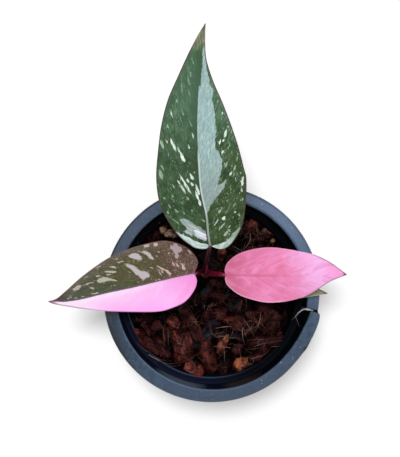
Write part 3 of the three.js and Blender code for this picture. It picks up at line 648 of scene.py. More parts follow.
class Nodes:
    """Adds nodes to one tree. A value is a number, a colour's hex digits or a node's output."""

    def __init__(self, tree):
        self.tree = tree

    def add(self, kind, sockets=None, **options):
        made = self.tree.nodes.new("ShaderNode" + kind)
        made.location = (190 * (len(self.tree.nodes) % 9), -260 * (len(self.tree.nodes) // 9))
        for option, value in options.items():
            setattr(made, option, value)
        for socket, value in (sockets or {}).items():
            self.fill(made.inputs[socket], value)
        return made

    def fill(self, socket, value):
        if isinstance(value, bpy.types.NodeSocket):
            self.tree.links.new(value, socket)
        else:
            socket.default_value = shade(value) if isinstance(value, str) else value

    def math(self, operation, *values):
        return self.add("Math", dict(enumerate(values)), operation=operation).outputs[0]

    def plus(self, first, second):
        return self.math("ADD", first, second)

    def minus(self, first, second):
        return self.math("SUBTRACT", first, second)

    def times(self, first, *others):
        for other in others:
            first = self.math("MULTIPLY", first, other)
        return first

    def sway(self, value, amount):
        """A reading that lies round 0.5, turned into a shift either way."""
        return self.times(self.minus(value, 0.5), amount)

    def radius(self, x, y):
        return self.math("SQRT", self.plus(self.times(x, x), self.times(y, y)))

    def step(self, value, low, high):
        """Rises smoothly from 0 at low to 1 at high."""
        return self.add("MapRange", {"Value": value, "From Min": low, "From Max": high},
                        interpolation_type="SMOOTHSTEP").outputs[0]

    def below(self, value, low, high):
        """Falls smoothly from 1 at low to 0 at high."""
        return self.minus(1.0, self.step(value, low, high))

    def blend(self, factor, first, second):
        return self.add("Mix", {0: factor, 2: first, 3: second}).outputs[0]

    def mix(self, factor, first, second, blend="MIX"):
        return self.add("Mix", {0: factor, 6: first, 7: second}, data_type="RGBA",
                        blend_type=blend).outputs[2]

    def over(self, colour, mask, tint, amount=1.0):
        """A colour with a tint laid over it where the mask is 1."""
        return self.mix(mask if amount == 1.0 else self.times(mask, amount), colour, tint)

    def noise(self, vector, scale, detail=3.0, roughness=0.55, distortion=0.0):
        return self.add("TexNoise", {"Vector": vector, "Scale": scale, "Detail": detail,
                                     "Roughness": roughness, "Distortion": distortion}).outputs[0]

    def grains(self, vector, scale):
        """The distance to the middle of the nearest of many scattered grains."""
        return self.add("TexVoronoi", {"Vector": vector, "Scale": scale}).outputs["Distance"]

    def stretch(self, vector, scale, rotation=(0, 0, 0)):
        return self.add("Mapping", {"Vector": vector, "Scale": scale,
                                    "Rotation": rotation}).outputs[0]

    def vector(self, x, y, z=0.0):
        return self.add("CombineXYZ", {0: x, 1: y, 2: z}).outputs[0]

    def read(self, name, output="Fac"):
        return self.add("Attribute", attribute_name=name).outputs[output]

    def effect(self, name, **sockets):
        """Places one of the shared effects with this material's own values."""
        made = self.add("Group", node_tree=EFFECTS[name])
        for socket, value in sockets.items():
            self.fill(made.inputs[socket], value)
        return made.outputs


class Finish(Nodes):
    """A Principled material that is painted in layers over one colour."""

    def __init__(self, name, **sockets):
        self.material = bpy.data.materials.new(name)
        self.material.use_nodes = True
        super().__init__(self.material.node_tree)
        shader = self.tree.nodes["Principled BSDF"]
        shader.location = (2100, 0)
        self.tree.nodes["Material Output"].location = (2400, 0)
        for socket, value in sockets.items():
            shader.inputs[socket.replace("_", " ")].default_value = value
        self.shader = shader.inputs
        self.place = self.add("TexCoord").outputs["Object"]
        self.colour = None

    def lay(self, mask, tint, amount=1.0):
        """Lays a tint over the colour so far."""
        self.colour = self.over(self.colour, mask, tint, amount)

    def darken(self, red, green, blue):
        """Multiplies the colour so far, channel by channel."""
        light = self.add("CombineColor", {0: red, 1: green, 2: blue}).outputs[0]
        self.colour = self.mix(1.0, self.colour, light, "MULTIPLY")

    def split(self):
        return self.add("SeparateXYZ", {0: self.place}).outputs

    def distance(self, point):
        """How far a place on the piece lies from a point, in metres."""
        return self.add("VectorMath", {0: self.place, 1: point},
                        operation="DISTANCE").outputs["Value"]

    def close(self, rough, relief=None, depth=0.0, strength=1.0):
        """Joins the colour, the roughness and any relief to the shader."""
        self.fill(self.shader["Base Color"], self.colour)
        self.fill(self.shader["Roughness"], rough)
        if relief is not None:
            bump = self.add("Bump", {"Height": relief, "Distance": depth, "Strength": strength})
            self.fill(self.shader["Normal"], bump.outputs[0])
        return self.material


# ---- Shared effects --------------------------------------------------------------------

EFFECTS = {}


def effect(name, inputs, outputs):
    """Makes an empty shared effect; a number is a float socket and None a vector socket."""
    tree = bpy.data.node_groups.new(name, "ShaderNodeTree")
    for title, value in inputs.items():
        kind = "NodeSocketVector" if value is None else "NodeSocketFloat"
        made = tree.interface.new_socket(title, in_out="INPUT", socket_type=kind)
        if value is not None:
            made.default_value = value
    for title in outputs:
        tree.interface.new_socket(title, in_out="OUTPUT", socket_type="NodeSocketFloat")
    EFFECTS[name] = tree
    entry = tree.nodes.new("NodeGroupInput")
    leave = tree.nodes.new("NodeGroupOutput")
    leave.location = (1900, 0)
    return Nodes(tree), entry.outputs, leave.inputs


def make_flecks():
    """Short pale dashes that lie along the side veins."""
    nodes, given, out = effect("Leaf Flecks", {
        "Fan": 0.0, "Reach": 0.0, "Width": 1.0, "Length": 4.0, "Cover": 0.3, "Seed": 0.0},
        ["Mask"])
    across = nodes.math("DIVIDE", given["Fan"], given["Width"])
    along = nodes.math("DIVIDE", given["Reach"], given["Length"])
    spot = nodes.noise(nodes.vector(across, along, given["Seed"]), 1.0, 2.0, 0.5, 0.3)
    clump = nodes.noise(nodes.vector(nodes.times(across, 0.16), nodes.times(along, 0.4),
                                     given["Seed"]), 1.0, 1.0)
    low = nodes.minus(0.78, nodes.times(given["Cover"], 0.5))
    nodes.fill(out["Mask"], nodes.step(nodes.plus(spot, nodes.sway(clump, 0.4)), low,
                                       nodes.plus(low, 0.06)))


def make_ragged_edge():
    """Turns a distance inside a patch into a mask with a torn edge that follows the veins."""
    nodes, given, out = effect("Ragged Edge", {
        "Inside": 0.0, "Fan": 0.0, "Reach": 0.0, "Tear": 0.6}, ["Mask"])
    fine = nodes.noise(nodes.vector(nodes.times(given["Fan"], 1.6),
                                    nodes.times(given["Reach"], 0.45)), 1.0, 3.0, 0.6)
    shift = nodes.sway(fine, nodes.times(given["Tear"], 3.0))
    nodes.fill(out["Mask"], nodes.step(nodes.plus(given["Inside"], shift), -0.18, 0.18))


def make_side_veins():
    """Thin lines and soft swells that repeat with the count of side veins."""
    nodes, given, out = effect("Side Veins", {"Turn": 0.0, "Edge": 0.0, "Width": 0.12},
                               ["Line", "Swell"])
    off = nodes.math("ABSOLUTE", nodes.minus(nodes.math("FRACT", given["Turn"]), 0.5))
    fade = nodes.step(given["Edge"], 0.5, 4.0)
    nodes.fill(out["Line"], nodes.times(nodes.below(off, 0.0, given["Width"]), fade))
    nodes.fill(out["Swell"], nodes.times(nodes.step(off, 0.0, 0.5), fade))


def make_skin():
    """Fine cells and soft mottling of living skin."""
    nodes, given, out = effect("Plant Skin", {"Place": None, "Cell": 0.9}, ["Cells", "Mottle"])
    size = nodes.math("DIVIDE", 1000.0, given["Cell"])
    nodes.fill(out["Cells"], nodes.noise(given["Place"], size, 2.0, 0.6))
    nodes.fill(out["Mottle"], nodes.noise(given["Place"], nodes.times(size, 0.11), 4.0, 0.6, 0.4))


def make_wood_grain():
    """Fibrous grain and layered breaks along a piece of bark."""
    nodes, given, out = effect("Bark Grain", {"Grain": None, "Seed": 0.0},
                               ["Fibre", "Break", "Grit"])
    seed = nodes.vector(given["Seed"], given["Seed"], given["Seed"])
    moved = nodes.add("VectorMath", {0: given["Grain"], 1: seed}, operation="ADD").outputs[0]
    nodes.fill(out["Fibre"], nodes.noise(nodes.stretch(moved, (1.2, 7.5, 7.5)), 1.0, 4.0, 0.65, 0.5))
    nodes.fill(out["Break"], nodes.noise(nodes.stretch(moved, (1.3, 2.2, 2.2)), 1.0, 3.0, 0.6, 0.8))
    nodes.fill(out["Grit"], nodes.noise(moved, 9.0, 3.0, 0.7))


def make_plastic_wear():
    """Dust, scuffs and specks on moulded plastic."""
    nodes, given, out = effect("Plastic Wear", {"Place": None}, ["Dust", "Scuff", "Speck"])
    place = given["Place"]
    fine = nodes.noise(place, 380.0, 4.0, 0.6)
    nodes.fill(out["Dust"], nodes.blend(0.6, nodes.noise(place, 60.0, 3.0, 0.55, 0.4), fine))
    hatch = nodes.noise(nodes.stretch(place, (260, 2600, 260), (0, 0, -0.93)), 1.0, 3.0, 0.6)
    cross = nodes.noise(nodes.stretch(place, (1900, 120, 200), (0, 0, -0.35)), 1.0, 2.0, 0.6)
    patch = nodes.noise(place, 34.0, 2.0, 0.5)
    hatched = nodes.times(nodes.step(hatch, 0.56, 0.72), nodes.step(patch, 0.42, 0.66))
    crossed = nodes.times(nodes.step(cross, 0.66, 0.74), nodes.step(patch, 0.5, 0.6))
    nodes.fill(out["Scuff"], nodes.math("MAXIMUM", hatched, crossed))
    thin = nodes.step(nodes.noise(place, 150.0, 1.0), 0.57, 0.64)
    nodes.fill(out["Speck"], nodes.times(nodes.below(nodes.grains(place, 420.0), 0.08, 0.2), thin))


# ---- Materials of the pot and the bed --------------------------------------------------

def pot_plastic():
    """Slate-blue moulded plastic, smooth, faintly dusty on the rim and scuffed in places; painted
    sheen and shade lie round the rim.
    """
    look = settings("pot")
    coat = Finish("pot_plastic", Specular_IOR_Level=0.5)
    x, y, z = coat.split()
    wear = coat.effect("Plastic Wear", Place=coat.place)
    coat.colour = coat.mix(coat.step(wear["Dust"], 0.34, 0.66), look.plastic, look.dust)
    # Painted sheen at the lighter bearings and painted shade at the darker one.
    for bearing, low, high, code in RIM_PAINTED_LIGHT:
        turn = math.radians(bearing)
        facing = coat.plus(coat.times(x, math.cos(turn)), coat.times(y, math.sin(turn)))
        coat.lay(coat.step(facing, low, high), code, 0.9)
    mottle = coat.blend(coat.step(coat.noise(coat.place, 880.0, 3.0, 0.65), 0.3, 0.7), 0.8, 1.18)
    mottle = coat.times(mottle, coat.blend(coat.step(wear["Dust"], 0.3, 0.7), 0.94, 1.06))
    coat.darken(mottle, mottle, mottle)
    top = coat.step(z, 0.0965, 0.0985)
    side = coat.mix(coat.step(wear["Dust"], 0.4, 0.8), "161c26", "1d2733")
    coat.colour = coat.mix(top, side, coat.colour)
    # Painted shade: a dark band along the rim's outer edge on the west side.
    west = coat.step(coat.plus(coat.times(x, -0.87), coat.times(y, 0.5)), 0.0, 0.04)
    brow = coat.times(west, top, coat.step(coat.radius(x, y), 0.0583, 0.059))
    coat.lay(brow, "0c111a", 0.9)
    # Painted shade: a dark spot in the nick.
    nick = coat.distance(polar(RIM_NICK["mark"], RIM_NICK["angle"], RIM_NICK["mark_height"]))
    coat.lay(coat.step(nick, 0.0019, 0.0010), "07080a")
    east = coat.step(x, -0.01, 0.05)
    mark = coat.times(wear["Scuff"], coat.blend(east, 0.45, 1.0), coat.blend(top, 0.25, 0.7))
    coat.lay(mark, look.scratch)
    coat.lay(wear["Speck"], "8e979e", coat.blend(top, 0.2, 0.75))
    rough = coat.blend(coat.step(wear["Dust"], 0.3, 0.8), 0.4, 0.48)
    relief = coat.plus(coat.times(wear["Dust"], 0.3), coat.times(mark, -0.6))
    return coat.close(coat.plus(rough, coat.times(mark, 0.2)), relief, 0.0001, 0.5)


def pot_inside():
    """Near-black plastic as painted shade for the deep inside, with dust and peat on the ledge, a
    painted lit side and a painted highlight on the lip.
    """
    coat = Finish("pot_inside", Specular_IOR_Level=0.05)
    x, y, z = coat.split()
    wear = coat.effect("Plastic Wear", Place=coat.place)
    ledge = coat.times(coat.step(z, 0.0862, 0.0875), coat.below(z, 0.0884, 0.0892))
    lip = coat.times(ledge, coat.below(coat.radius(x, y), 0.0487, 0.0491))
    # Painted light: the inside is lighter and bluer on the south side, most of all to the south-west.
    south = coat.step(coat.times(y, -1.0), -0.01, 0.03)
    seen = coat.times(south, coat.blend(coat.below(x, -0.01, 0.03), 0.05, 1.0))
    coat.colour = coat.mix(coat.step(wear["Dust"], 0.45, 0.8), settings("pot").inside, "07080e")
    coat.lay(seen, "0c1124", 0.8)
    # Peat on the ledge, shown only on that painted lit side.
    peat = coat.times(ledge, coat.step(wear["Dust"], 0.48, 0.66))
    coat.lay(peat, "181416", coat.blend(seen, 0.0, 0.35))
    high = coat.step(z, 0.0885, 0.091)
    for bearing, reach, strength, code in INSIDE_DUST:
        away = coat.plus(coat.distance(polar(DUST_RADIUS, bearing, DUST_HEIGHT)),
                         coat.sway(wear["Dust"], 0.014))
        coat.lay(coat.times(coat.step(away, reach, 0.005), high), code, strength)
    # Painted highlight along the ledge's inner lip, on the painted lit side.
    coat.lay(lip, "3c4856", coat.blend(seen, 0.0, 0.95))
    coat.lay(wear["Speck"], "5c5450", 0.4)
    return coat.close(coat.blend(wear["Dust"], 0.5, 0.7), wear["Dust"], 0.0002, 0.5)


def bark_mix():
    """The dark fines between the chips."""
    coat = Finish("damp_mix", Specular_IOR_Level=0.03)
    grain = coat.effect("Bark Grain", Grain=coat.stretch(coat.place, (500, 500, 500)), Seed=3.0)
    coat.colour = coat.mix(coat.step(grain["Break"], 0.4, 0.7), "030101", settings("bed").damp)
    coat.lay(coat.step(grain["Grit"], 0.64, 0.8), "220c09")
    return coat.close(coat.blend(grain["Grit"], 0.6, 0.95), grain["Grit"], 0.0008, 0.8)


def bark_material(name, scale=1.0):
    """Broken bark whose tone runs from charcoal through red-brown to fresh orange wood, with painted
    shade low in the gaps and a painted highlight on its fibres.
    """
    coat = Finish(name, Specular_IOR_Level=0.05)
    tone = coat.read("tone")
    grain = coat.effect("Bark Grain", Seed=coat.times(coat.read("seed"), 37.0), Grain=coat.stretch(
        coat.read("grain", "Vector"), (scale, scale, scale)))
    shift = coat.times(coat.sway(grain["Break"], 0.5), coat.step(tone, 0.1, 0.3))
    ramp = coat.add("ValToRGB", {"Fac": coat.times(0.8, coat.plus(tone, shift))})
    band = ramp.color_ramp
    while len(band.elements) < len(BARK_TONES):
        band.elements.new(0.5)
    for element, (at, code) in zip(band.elements, BARK_TONES):
        element.position = at
        element.color = shade(code)
    base = ramp.outputs[0]
    deep = coat.mix(1.0, base, "5c4646", "MULTIPLY")
    coat.colour = coat.mix(coat.step(grain["Fibre"], 0.36, 0.6),
                           coat.mix(1.0, base, "8c7878", "MULTIPLY"), base)
    # Painted highlight: pale grey-pink on the fibres' peaks.
    coat.lay(coat.step(grain["Fibre"], 0.56, 0.78), coat.mix(0.16, base, "b08a80"), 0.9)
    cracks = coat.minus(0.7, coat.times(0.7, coat.step(grain["Fibre"], 0.26, 0.4)))
    coat.lay(cracks, deep, coat.blend(coat.step(tone, 0.8, 0.92), 1.0, 0.3))
    patchy = coat.noise(coat.place, 210.0, 2.0)
    coat.lay(coat.step(patchy, 0.56, 0.4), coat.mix(1.0, coat.colour, "806a6a", "MULTIPLY"))
    coat.lay(coat.step(grain["Grit"], 0.7, 0.8), "8a6a5e", 0.35)
    # Painted shade: bark darkens and reddens lower down in the gaps, and lightens a little higher up.
    height_shade = coat.blend(coat.step(coat.read("rise"), -0.4, 4.4), 0.06, 1.22)
    coat.darken(height_shade, coat.math("POWER", height_shade, 1.45), coat.math("POWER", height_shade, 1.35))
    relief = coat.plus(coat.times(grain["Fibre"], 0.7), coat.times(grain["Break"], 0.5))
    return coat.close(coat.blend(grain["Fibre"], 0.3, 0.7), relief, 0.0007, 0.8)


def husk_fibre(name, dark, middle, pale):
    """Dry threads of husk, in three tones."""
    coat = Finish(name, Specular_IOR_Level=0.2)
    kind = coat.noise(coat.place, 75.0, 1.0)
    coat.colour = coat.mix(coat.step(kind, 0.42, 0.5), dark, middle)
    coat.lay(coat.step(kind, 0.52, 0.62), pale)
    coat.lay(coat.step(coat.noise(coat.place, 900.0, 2.0), 0.5, 0.7), middle)
    return coat.close(coat.blend(kind, 0.5, 0.8))


def root_skin():
    """A dry grey root that is brown where it goes down into the bed."""
    coat = Finish("root_skin", Specular_IOR_Level=0.35)
    tint = coat.noise(coat.place, 260.0, 3.0)
    dry = coat.mix(coat.step(tint, 0.35, 0.65), "5c5759", "9a9597")
    coat.colour = coat.mix(coat.step(coat.split()[2], 0.094, 0.099), "4a3a2c", dry)
    return coat.close(coat.blend(tint, 0.45, 0.7))


# ---- Materials of the plant ------------------------------------------------------------

def stalk_skin(name, bright, dark, streak, lit=False, marked_spot=None):
    """Waxy skin with fine streaks and pale pores; one can have a painted highlight down its right
    side, or a pale spot at a place.
    """
    coat = Finish(name, Specular_IOR_Level=0.1 if lit else 0.25,
                  Coat_Weight=0.0 if lit else 0.04, Coat_Roughness=0.3)
    skin = coat.effect("Plant Skin", Place=coat.place, Cell=0.5)
    streaks = coat.noise(coat.stretch(coat.place, (1800, 1800, 160)), 1.0, 3.0, 0.6)
    coat.colour = coat.mix(coat.step(streaks, 0.38, 0.66), dark, bright)
    coat.lay(coat.step(skin["Mottle"], 0.5, 0.68), dark, 0.5)
    pores = coat.below(coat.grains(coat.stretch(coat.place, (1, 1, 0.5)), 520.0), 0.12, 0.24)
    coat.lay(coat.times(pores, coat.step(skin["Mottle"], 0.55, 0.62)), streak, 0.7)
    if lit:
        # Painted highlight: a pale line down the stalk's right side.
        coat.lay(coat.step(coat.read("right"), 0.68, 0.92), streak, 0.7)
    if marked_spot:
        coat.lay(coat.step(coat.distance(Vector(marked_spot) * MM), 0.0013, 0.0007), "a8927e")
    return coat.close(coat.blend(skin["Cells"], 0.28, 0.46), coat.plus(streaks, skin["Cells"]),
                      0.00012, 0.6)


def stem_skin():
    """Ringed stem: maroon skin, with dry brown scars on the swollen nodes."""
    coat = Finish("stem_skin", Specular_IOR_Level=0.4)
    skin = coat.effect("Plant Skin", Place=coat.place, Cell=0.7)
    coat.colour = coat.mix(coat.step(skin["Mottle"], 0.4, 0.65), settings("stalk").maroon, "2a1814")
    coat.lay(coat.times(coat.read("marked_spot"), coat.step(skin["Cells"], 0.3, 0.6)), "33201a")
    return coat.close(coat.blend(skin["Cells"], 0.4, 0.65), skin["Cells"], 0.0002, 0.7)


class LeafFinish(Finish):
    """A blade's material, with the readings and masks that every blade shares."""

    def __init__(self, name, length, under):
        super().__init__(name + ("_underside" if under else ""), Specular_IOR_Level=0.18)
        self.under = under
        self.length = length
        self.along, self.across = self.read("along"), self.read("across")
        self.fan, self.reach = self.read("fan"), self.read("reach")
        self.edge, self.inside = self.read("edge"), self.read("inside")
        self.bright = self.read("bright")
        self.share = self.math("DIVIDE", self.along, length)
        self.off = self.math("ABSOLUTE", self.across)
        self.left = self.step(self.across, -0.3, 0.3)
        self.skin = self.effect("Plant Skin", Place=self.place, Cell=0.8)
        self.veins = self.effect("Side Veins", Turn=self.read("vein"), Edge=self.edge, Width=0.16)
        self.wander = self.sway(self.skin["Mottle"], 0.4)

    def torn(self, inside, tear):
        return self.effect("Ragged Edge", Inside=inside, Fan=self.fan, Reach=self.reach,
                           Tear=tear)["Mask"]

    def flecks(self, width, length, cover, seed):
        return self.effect("Leaf Flecks", Fan=self.fan, Reach=self.reach, Width=width,
                           Length=length, Cover=cover, Seed=seed)["Mask"]

    def streaks(self, fine, long, seed, low=0.4, high=0.65):
        """Soft streaks that run with the side veins."""
        spot = self.vector(self.times(self.fan, fine), self.times(self.reach, long), seed)
        return self.step(self.noise(spot, 1.0, 3.0), low, high)

    def tip(self, start, full):
        """Rises towards the tip, between two distances from it in millimetres."""
        return self.step(self.along, self.length - start, self.length - full)

    def close_blade(self, rough, dull):
        """Sets colour, gloss and relief; the lower face is duller and more maroon."""
        if self.under:
            self.colour = self.mix(0.42, self.colour, dull)
            rough += 0.15
        gloss = self.plus(rough, self.times(self.skin["Cells"], 0.12))
        relief = self.plus(self.times(self.veins["Swell"], 0.5),
                           self.times(self.skin["Cells"], 0.25))
        return self.close(gloss, relief, 0.00018, 0.6)


def sector_grey(on, look):
    """The pale sector: grey-white, streaked along its veins."""
    grey = on.mix(on.streaks(1.1, 0.1, 5.0, 0.3, 0.7), "6a8282", look.pale)
    grey = on.over(grey, on.streaks(1.9, 0.3, 8.0, 0.5, 0.68), "9dafab", 0.5)
    grey = on.over(grey, on.streaks(2.4, 0.3, 71.0, 0.5, 0.66), "a6b6b4", 0.5)
    grey = on.over(grey, on.flecks(0.7, 1.8, 0.42, 61.0), "607576", 0.55)
    grey = on.over(grey, on.below(on.share, 0.15, 0.45), "6a726f", 0.6)
    return on.over(grey, on.flecks(0.5, 2.4, 0.27, 3.0), "aabab4", 0.5)


def pale_marks(on, look):
    """The green leaf's marks by their brightness: green-white, lilac, veiled, or a lobe's band."""
    pale = on.mix(on.step(on.bright, 0.4, 1.0), "6c806a", look.white)
    veiled = on.mix(on.streaks(1.3, 0.15, 2.0, 0.42, 0.62), "707c79", "9aa2a4")
    lilac = on.mix(on.streaks(1.3, 0.15, 12.0, 0.36, 0.6), "8c959a", "bec1c9")
    patch = on.mix(on.step(on.bright, 0.18, 0.22), veiled, lilac)
    pale = on.mix(on.below(on.bright, 0.3, 0.35), pale, patch)
    fine = on.streaks(1.1, 0.2, 1.0, 0.36, 0.62)
    band = on.mix(on.left, on.mix(fine, "84928b", "a6b2ae"), on.mix(fine, "8a9995", "adbbbb"))
    upper = on.times(on.below(on.across, -13.5, -8.5), on.below(on.share, 0.3, 0.31))
    lobe = on.times(on.below(on.along, 10.0, 14.0), on.step(on.bright, 0.7, 0.74))
    return on.mix(lobe, pale, on.over(band, upper, "6f8470", 0.85))


def green_ground(on, look):
    """Lays the green itself, deeper by the stalk and the midrib, with haze, dots and dashes."""
    grown = on.step(on.plus(on.share, on.wander), 0.3, 0.66)
    mottle = on.step(on.skin["Mottle"], 0.38, 0.64)
    on.colour = on.mix(mottle, on.mix(grown, look.green, "29442b"),
                       on.mix(grown, "2e432a", look.green_light))
    right_base = on.times(on.below(on.share, 0.34, 0.58), on.below(on.across, -3.0, 3.0))
    on.lay(right_base, on.mix(mottle, "1e2f11", "2c3c1c"), 0.9)
    on.lay(on.veins["Line"], look.green_light, 0.14)
    calm = on.blend(on.left, 1.0, 0.52)
    haze = on.times(on.flecks(0.6, 3.0, 0.52, 11.0), on.step(on.off, 0.8, 4.0), calm)
    on.lay(haze, on.mix(grown, "40553a", "4b654b"), 0.55)
    soft = on.times(on.streaks(0.9, 0.1, 6.0, 0.52, 0.7), on.step(on.share, 0.35, 0.6), on.left)
    on.lay(soft, "4f6c51", 0.45)
    on.lay(on.times(on.below(on.off, 1.0, 4.5), on.step(on.share, 0.4, 0.55)), "2a4229", 0.75)
    away = on.step(on.off, 1.5, 6.0)
    dots = on.times(on.flecks(0.42, 1.2, 0.3, 4.0), on.blend(away, 0.3, 1.0), calm)
    on.lay(dots, "647f64", 0.6)
    low = on.blend(on.step(on.share, 0.42, 0.62), 1.0, 0.5)
    dashes = on.times(on.flecks(0.48, 2.8, 0.25, 7.0), on.blend(away, 0.4, 1.0), low, calm)
    on.lay(dashes, "869c84", 0.75)
    bright = on.times(on.flecks(0.45, 1.8, 0.2, 17.0), on.step(on.off, 3.0, 8.0), low, calm)
    on.lay(bright, look.white, 0.85)


def leaf_green(name, length, under):
    """Deep green blade with a torn grey-white sector, streaks and fine flecks."""
    look = settings("leaf")
    on = LeafFinish(name, length, under)
    green_ground(on, look)
    sector = on.times(on.torn(on.read("sector"), 0.6), on.below(on.across, -0.15, 0.1))
    on.lay(sector, sector_grey(on, look))
    base = on.below(on.along, 13.0, 18.0)
    broken = on.blend(on.streaks(2.6, 0.4, 44.0, 0.36, 0.5), 0.35, 1.0)
    on.lay(on.torn(on.inside, 0.55), pale_marks(on, look), on.blend(base, broken, 1.0))
    # Painted shadow: a dark line in the groove beside the midrib, near the base.
    groove = on.times(on.step(on.across, 0.4, 0.6), on.below(on.across, 0.8, 1.2), base)
    on.lay(groove, "1f2a1d", 0.7)
    rib = on.mix(on.below(on.along, 2.0, 5.0), on.mix(base, "9ba8a5", "7e857c"), "7a7774")
    wide = on.plus(on.off, on.times(base, -0.12))
    on.lay(on.times(on.below(wide, 0.25, 0.5), on.below(on.share, 0.38, 0.44)), rib, 0.95)
    on.lay(on.times(on.below(on.edge, 0.3, 1.3), on.step(on.share, 0.45, 0.7)), "4a4a42", 0.55)
    on.lay(on.below(on.edge, 0.2, 0.6), look.margin, 0.8)
    on.lay(on.tip(19.0, 9.0), on.mix(on.streaks(1.4, 0.15, 19.0, 0.45, 0.6), "565a43", "787863"),
           0.85)
    on.lay(on.tip(6.5, 2.0), "55434a", 0.9)
    return on.close_blade(0.42, "4e4a3c")


def bronze_half(on, look):
    """Lays the half-pink leaf's darker half: bronze to olive, flecked, with mauve blotches."""
    shifted = on.plus(on.share, on.wander)
    on.colour = on.mix(on.step(shifted, 0.04, 0.26), look.bronze, look.bronze_green)
    on.lay(on.step(shifted, 0.42, 0.72), look.bronze_grey)
    on.lay(on.step(on.skin["Mottle"], 0.4, 0.66), "383423", 0.45)
    on.lay(on.times(on.below(on.off, 0.5, 6.0), on.step(on.share, 0.25, 0.55)), "364137", 0.75)
    green = on.step(on.noise(on.vector(on.fan, on.reach, 4.0), 0.3, 2.0), 0.5, 0.62)
    on.lay(on.times(green, on.step(on.share, 0.2, 0.35)), "3b4a26", 0.55)
    on.lay(on.flecks(0.5, 2.0, 0.55, 21.0), "565138", 0.4)
    on.lay(on.streaks(1.0, 0.15, 5.0, 0.5, 0.7), "2f2a1e", 0.4)
    ashen = on.below(on.edge, 0.5, 4.5)
    on.lay(ashen, on.mix(on.step(on.share, 0.1, 0.3), "543c3a", "514842"), 0.5)
    on.lay(on.times(ashen, on.flecks(0.45, 0.8, 0.42, 51.0)), "77706a", 0.5)
    on.lay(on.veins["Line"], "4a4a34", 0.15)
    fresh = on.times(on.step(on.noise(on.vector(on.fan, on.reach, 9.0), 0.35, 1.0), 0.4, 0.6),
                     on.below(on.share, 0.26, 0.42))
    on.lay(on.flecks(0.5, 0.9, 0.29, 24.0), on.mix(fresh, "807a64", "93787a"), 0.5)
    on.lay(on.times(on.below(on.share, 0.1, 0.22), on.flecks(0.5, 0.9, 0.4, 61.0)), "8c6e6a", 0.6)
    on.lay(on.flecks(0.6, 1.8, 0.23, 27.0), on.mix(fresh, "8d8975", "a5858a"), 0.75)
    rimmed = on.step(on.plus(on.inside, on.sway(on.skin["Cells"], 1.2)), 0.0, 0.5)
    mauve = on.mix(on.below(on.share, 0.12, 0.25), look.blush, "93818a")
    small = on.mix(on.step(on.share, 0.26, 0.42), "a5938c", look.cream)
    blotch = on.mix(on.step(on.bright, 0.52, 0.62), on.mix(rimmed, "8e8678", mauve), small)
    on.lay(on.torn(on.inside, 0.8), blotch, 0.92)
    on.lay(on.below(on.edge, 0.2, 0.6), "5c4844", 0.8)


def pink_half(on, look):
    """The solid pink half, palest at the tip and rosy along its lower edge."""
    drift = on.plus(on.share, on.times(on.wander, 0.35))
    pale = on.mix(on.step(drift, -0.06, 0.26), look.rose, "d099c9")
    pale = on.mix(on.step(drift, 0.25, 0.55), pale, "d0abcc")
    pale = on.mix(on.step(drift, 0.5, 0.85), pale, look.rose_pale)
    pale = on.over(pale, on.streaks(0.6, 0.07, 2.0, 0.48, 0.7), look.rose, 0.16)
    pale = on.over(pale, on.streaks(0.3, 0.05, 33.0, 0.45, 0.7), "d6bcd6", 0.22)
    low_edge = on.times(on.below(on.edge, 1.0, 7.0), on.step(on.share, 0.1, 0.3),
                        on.below(on.share, 0.5, 0.75))
    pale = on.over(pale, low_edge, "d088c6", 0.6)
    beside = on.times(on.below(on.across, 0.6, 4.5), on.step(on.share, 0.12, 0.4))
    pale = on.over(pale, beside, "d8c8da", 0.5)
    tipward = on.times(on.below(on.edge, 0.2, 0.7), on.step(on.share, 0.5, 0.8))
    pale = on.over(pale, tipward, "8d6a78", 0.75)
    line = on.times(on.below(on.edge, 0.1, 0.5), on.below(on.share, 0.5, 0.7))
    return on.over(pale, line, "b05a94", 0.6)


def leaf_half_pink(name, length, under):
    """One half bronze and olive with mauve blotches, the other half solid pink."""
    look = settings("leaf")
    on = LeafFinish(name, length, under)
    bronze_half(on, look)
    bend = on.minus(on.times(on.step(on.along, 44.0, 68.0), 1.2),
                    on.times(on.step(on.along, 71.0, 79.0), 0.9))
    bend = on.plus(bend, on.times(on.below(on.along, 30.0, 56.0), 0.36))
    ragged = on.plus(on.minus(on.across, bend), on.sway(on.skin["Cells"], 0.5))
    on.lay(on.step(ragged, -0.12, 0.12), pink_half(on, look))
    on.lay(on.below(on.math("ABSOLUTE", on.plus(ragged, 0.35)), 0.12, 0.5), "66505f", 0.75)
    on.lay(on.times(on.step(on.along, 67.0, 76.0), on.below(ragged, -0.1, 0.3)), "3a2c2c", 0.8)
    on.lay(on.tip(8.0, 2.0), "6a3c48", 0.8)
    return on.close_blade(0.44, "6a4450")


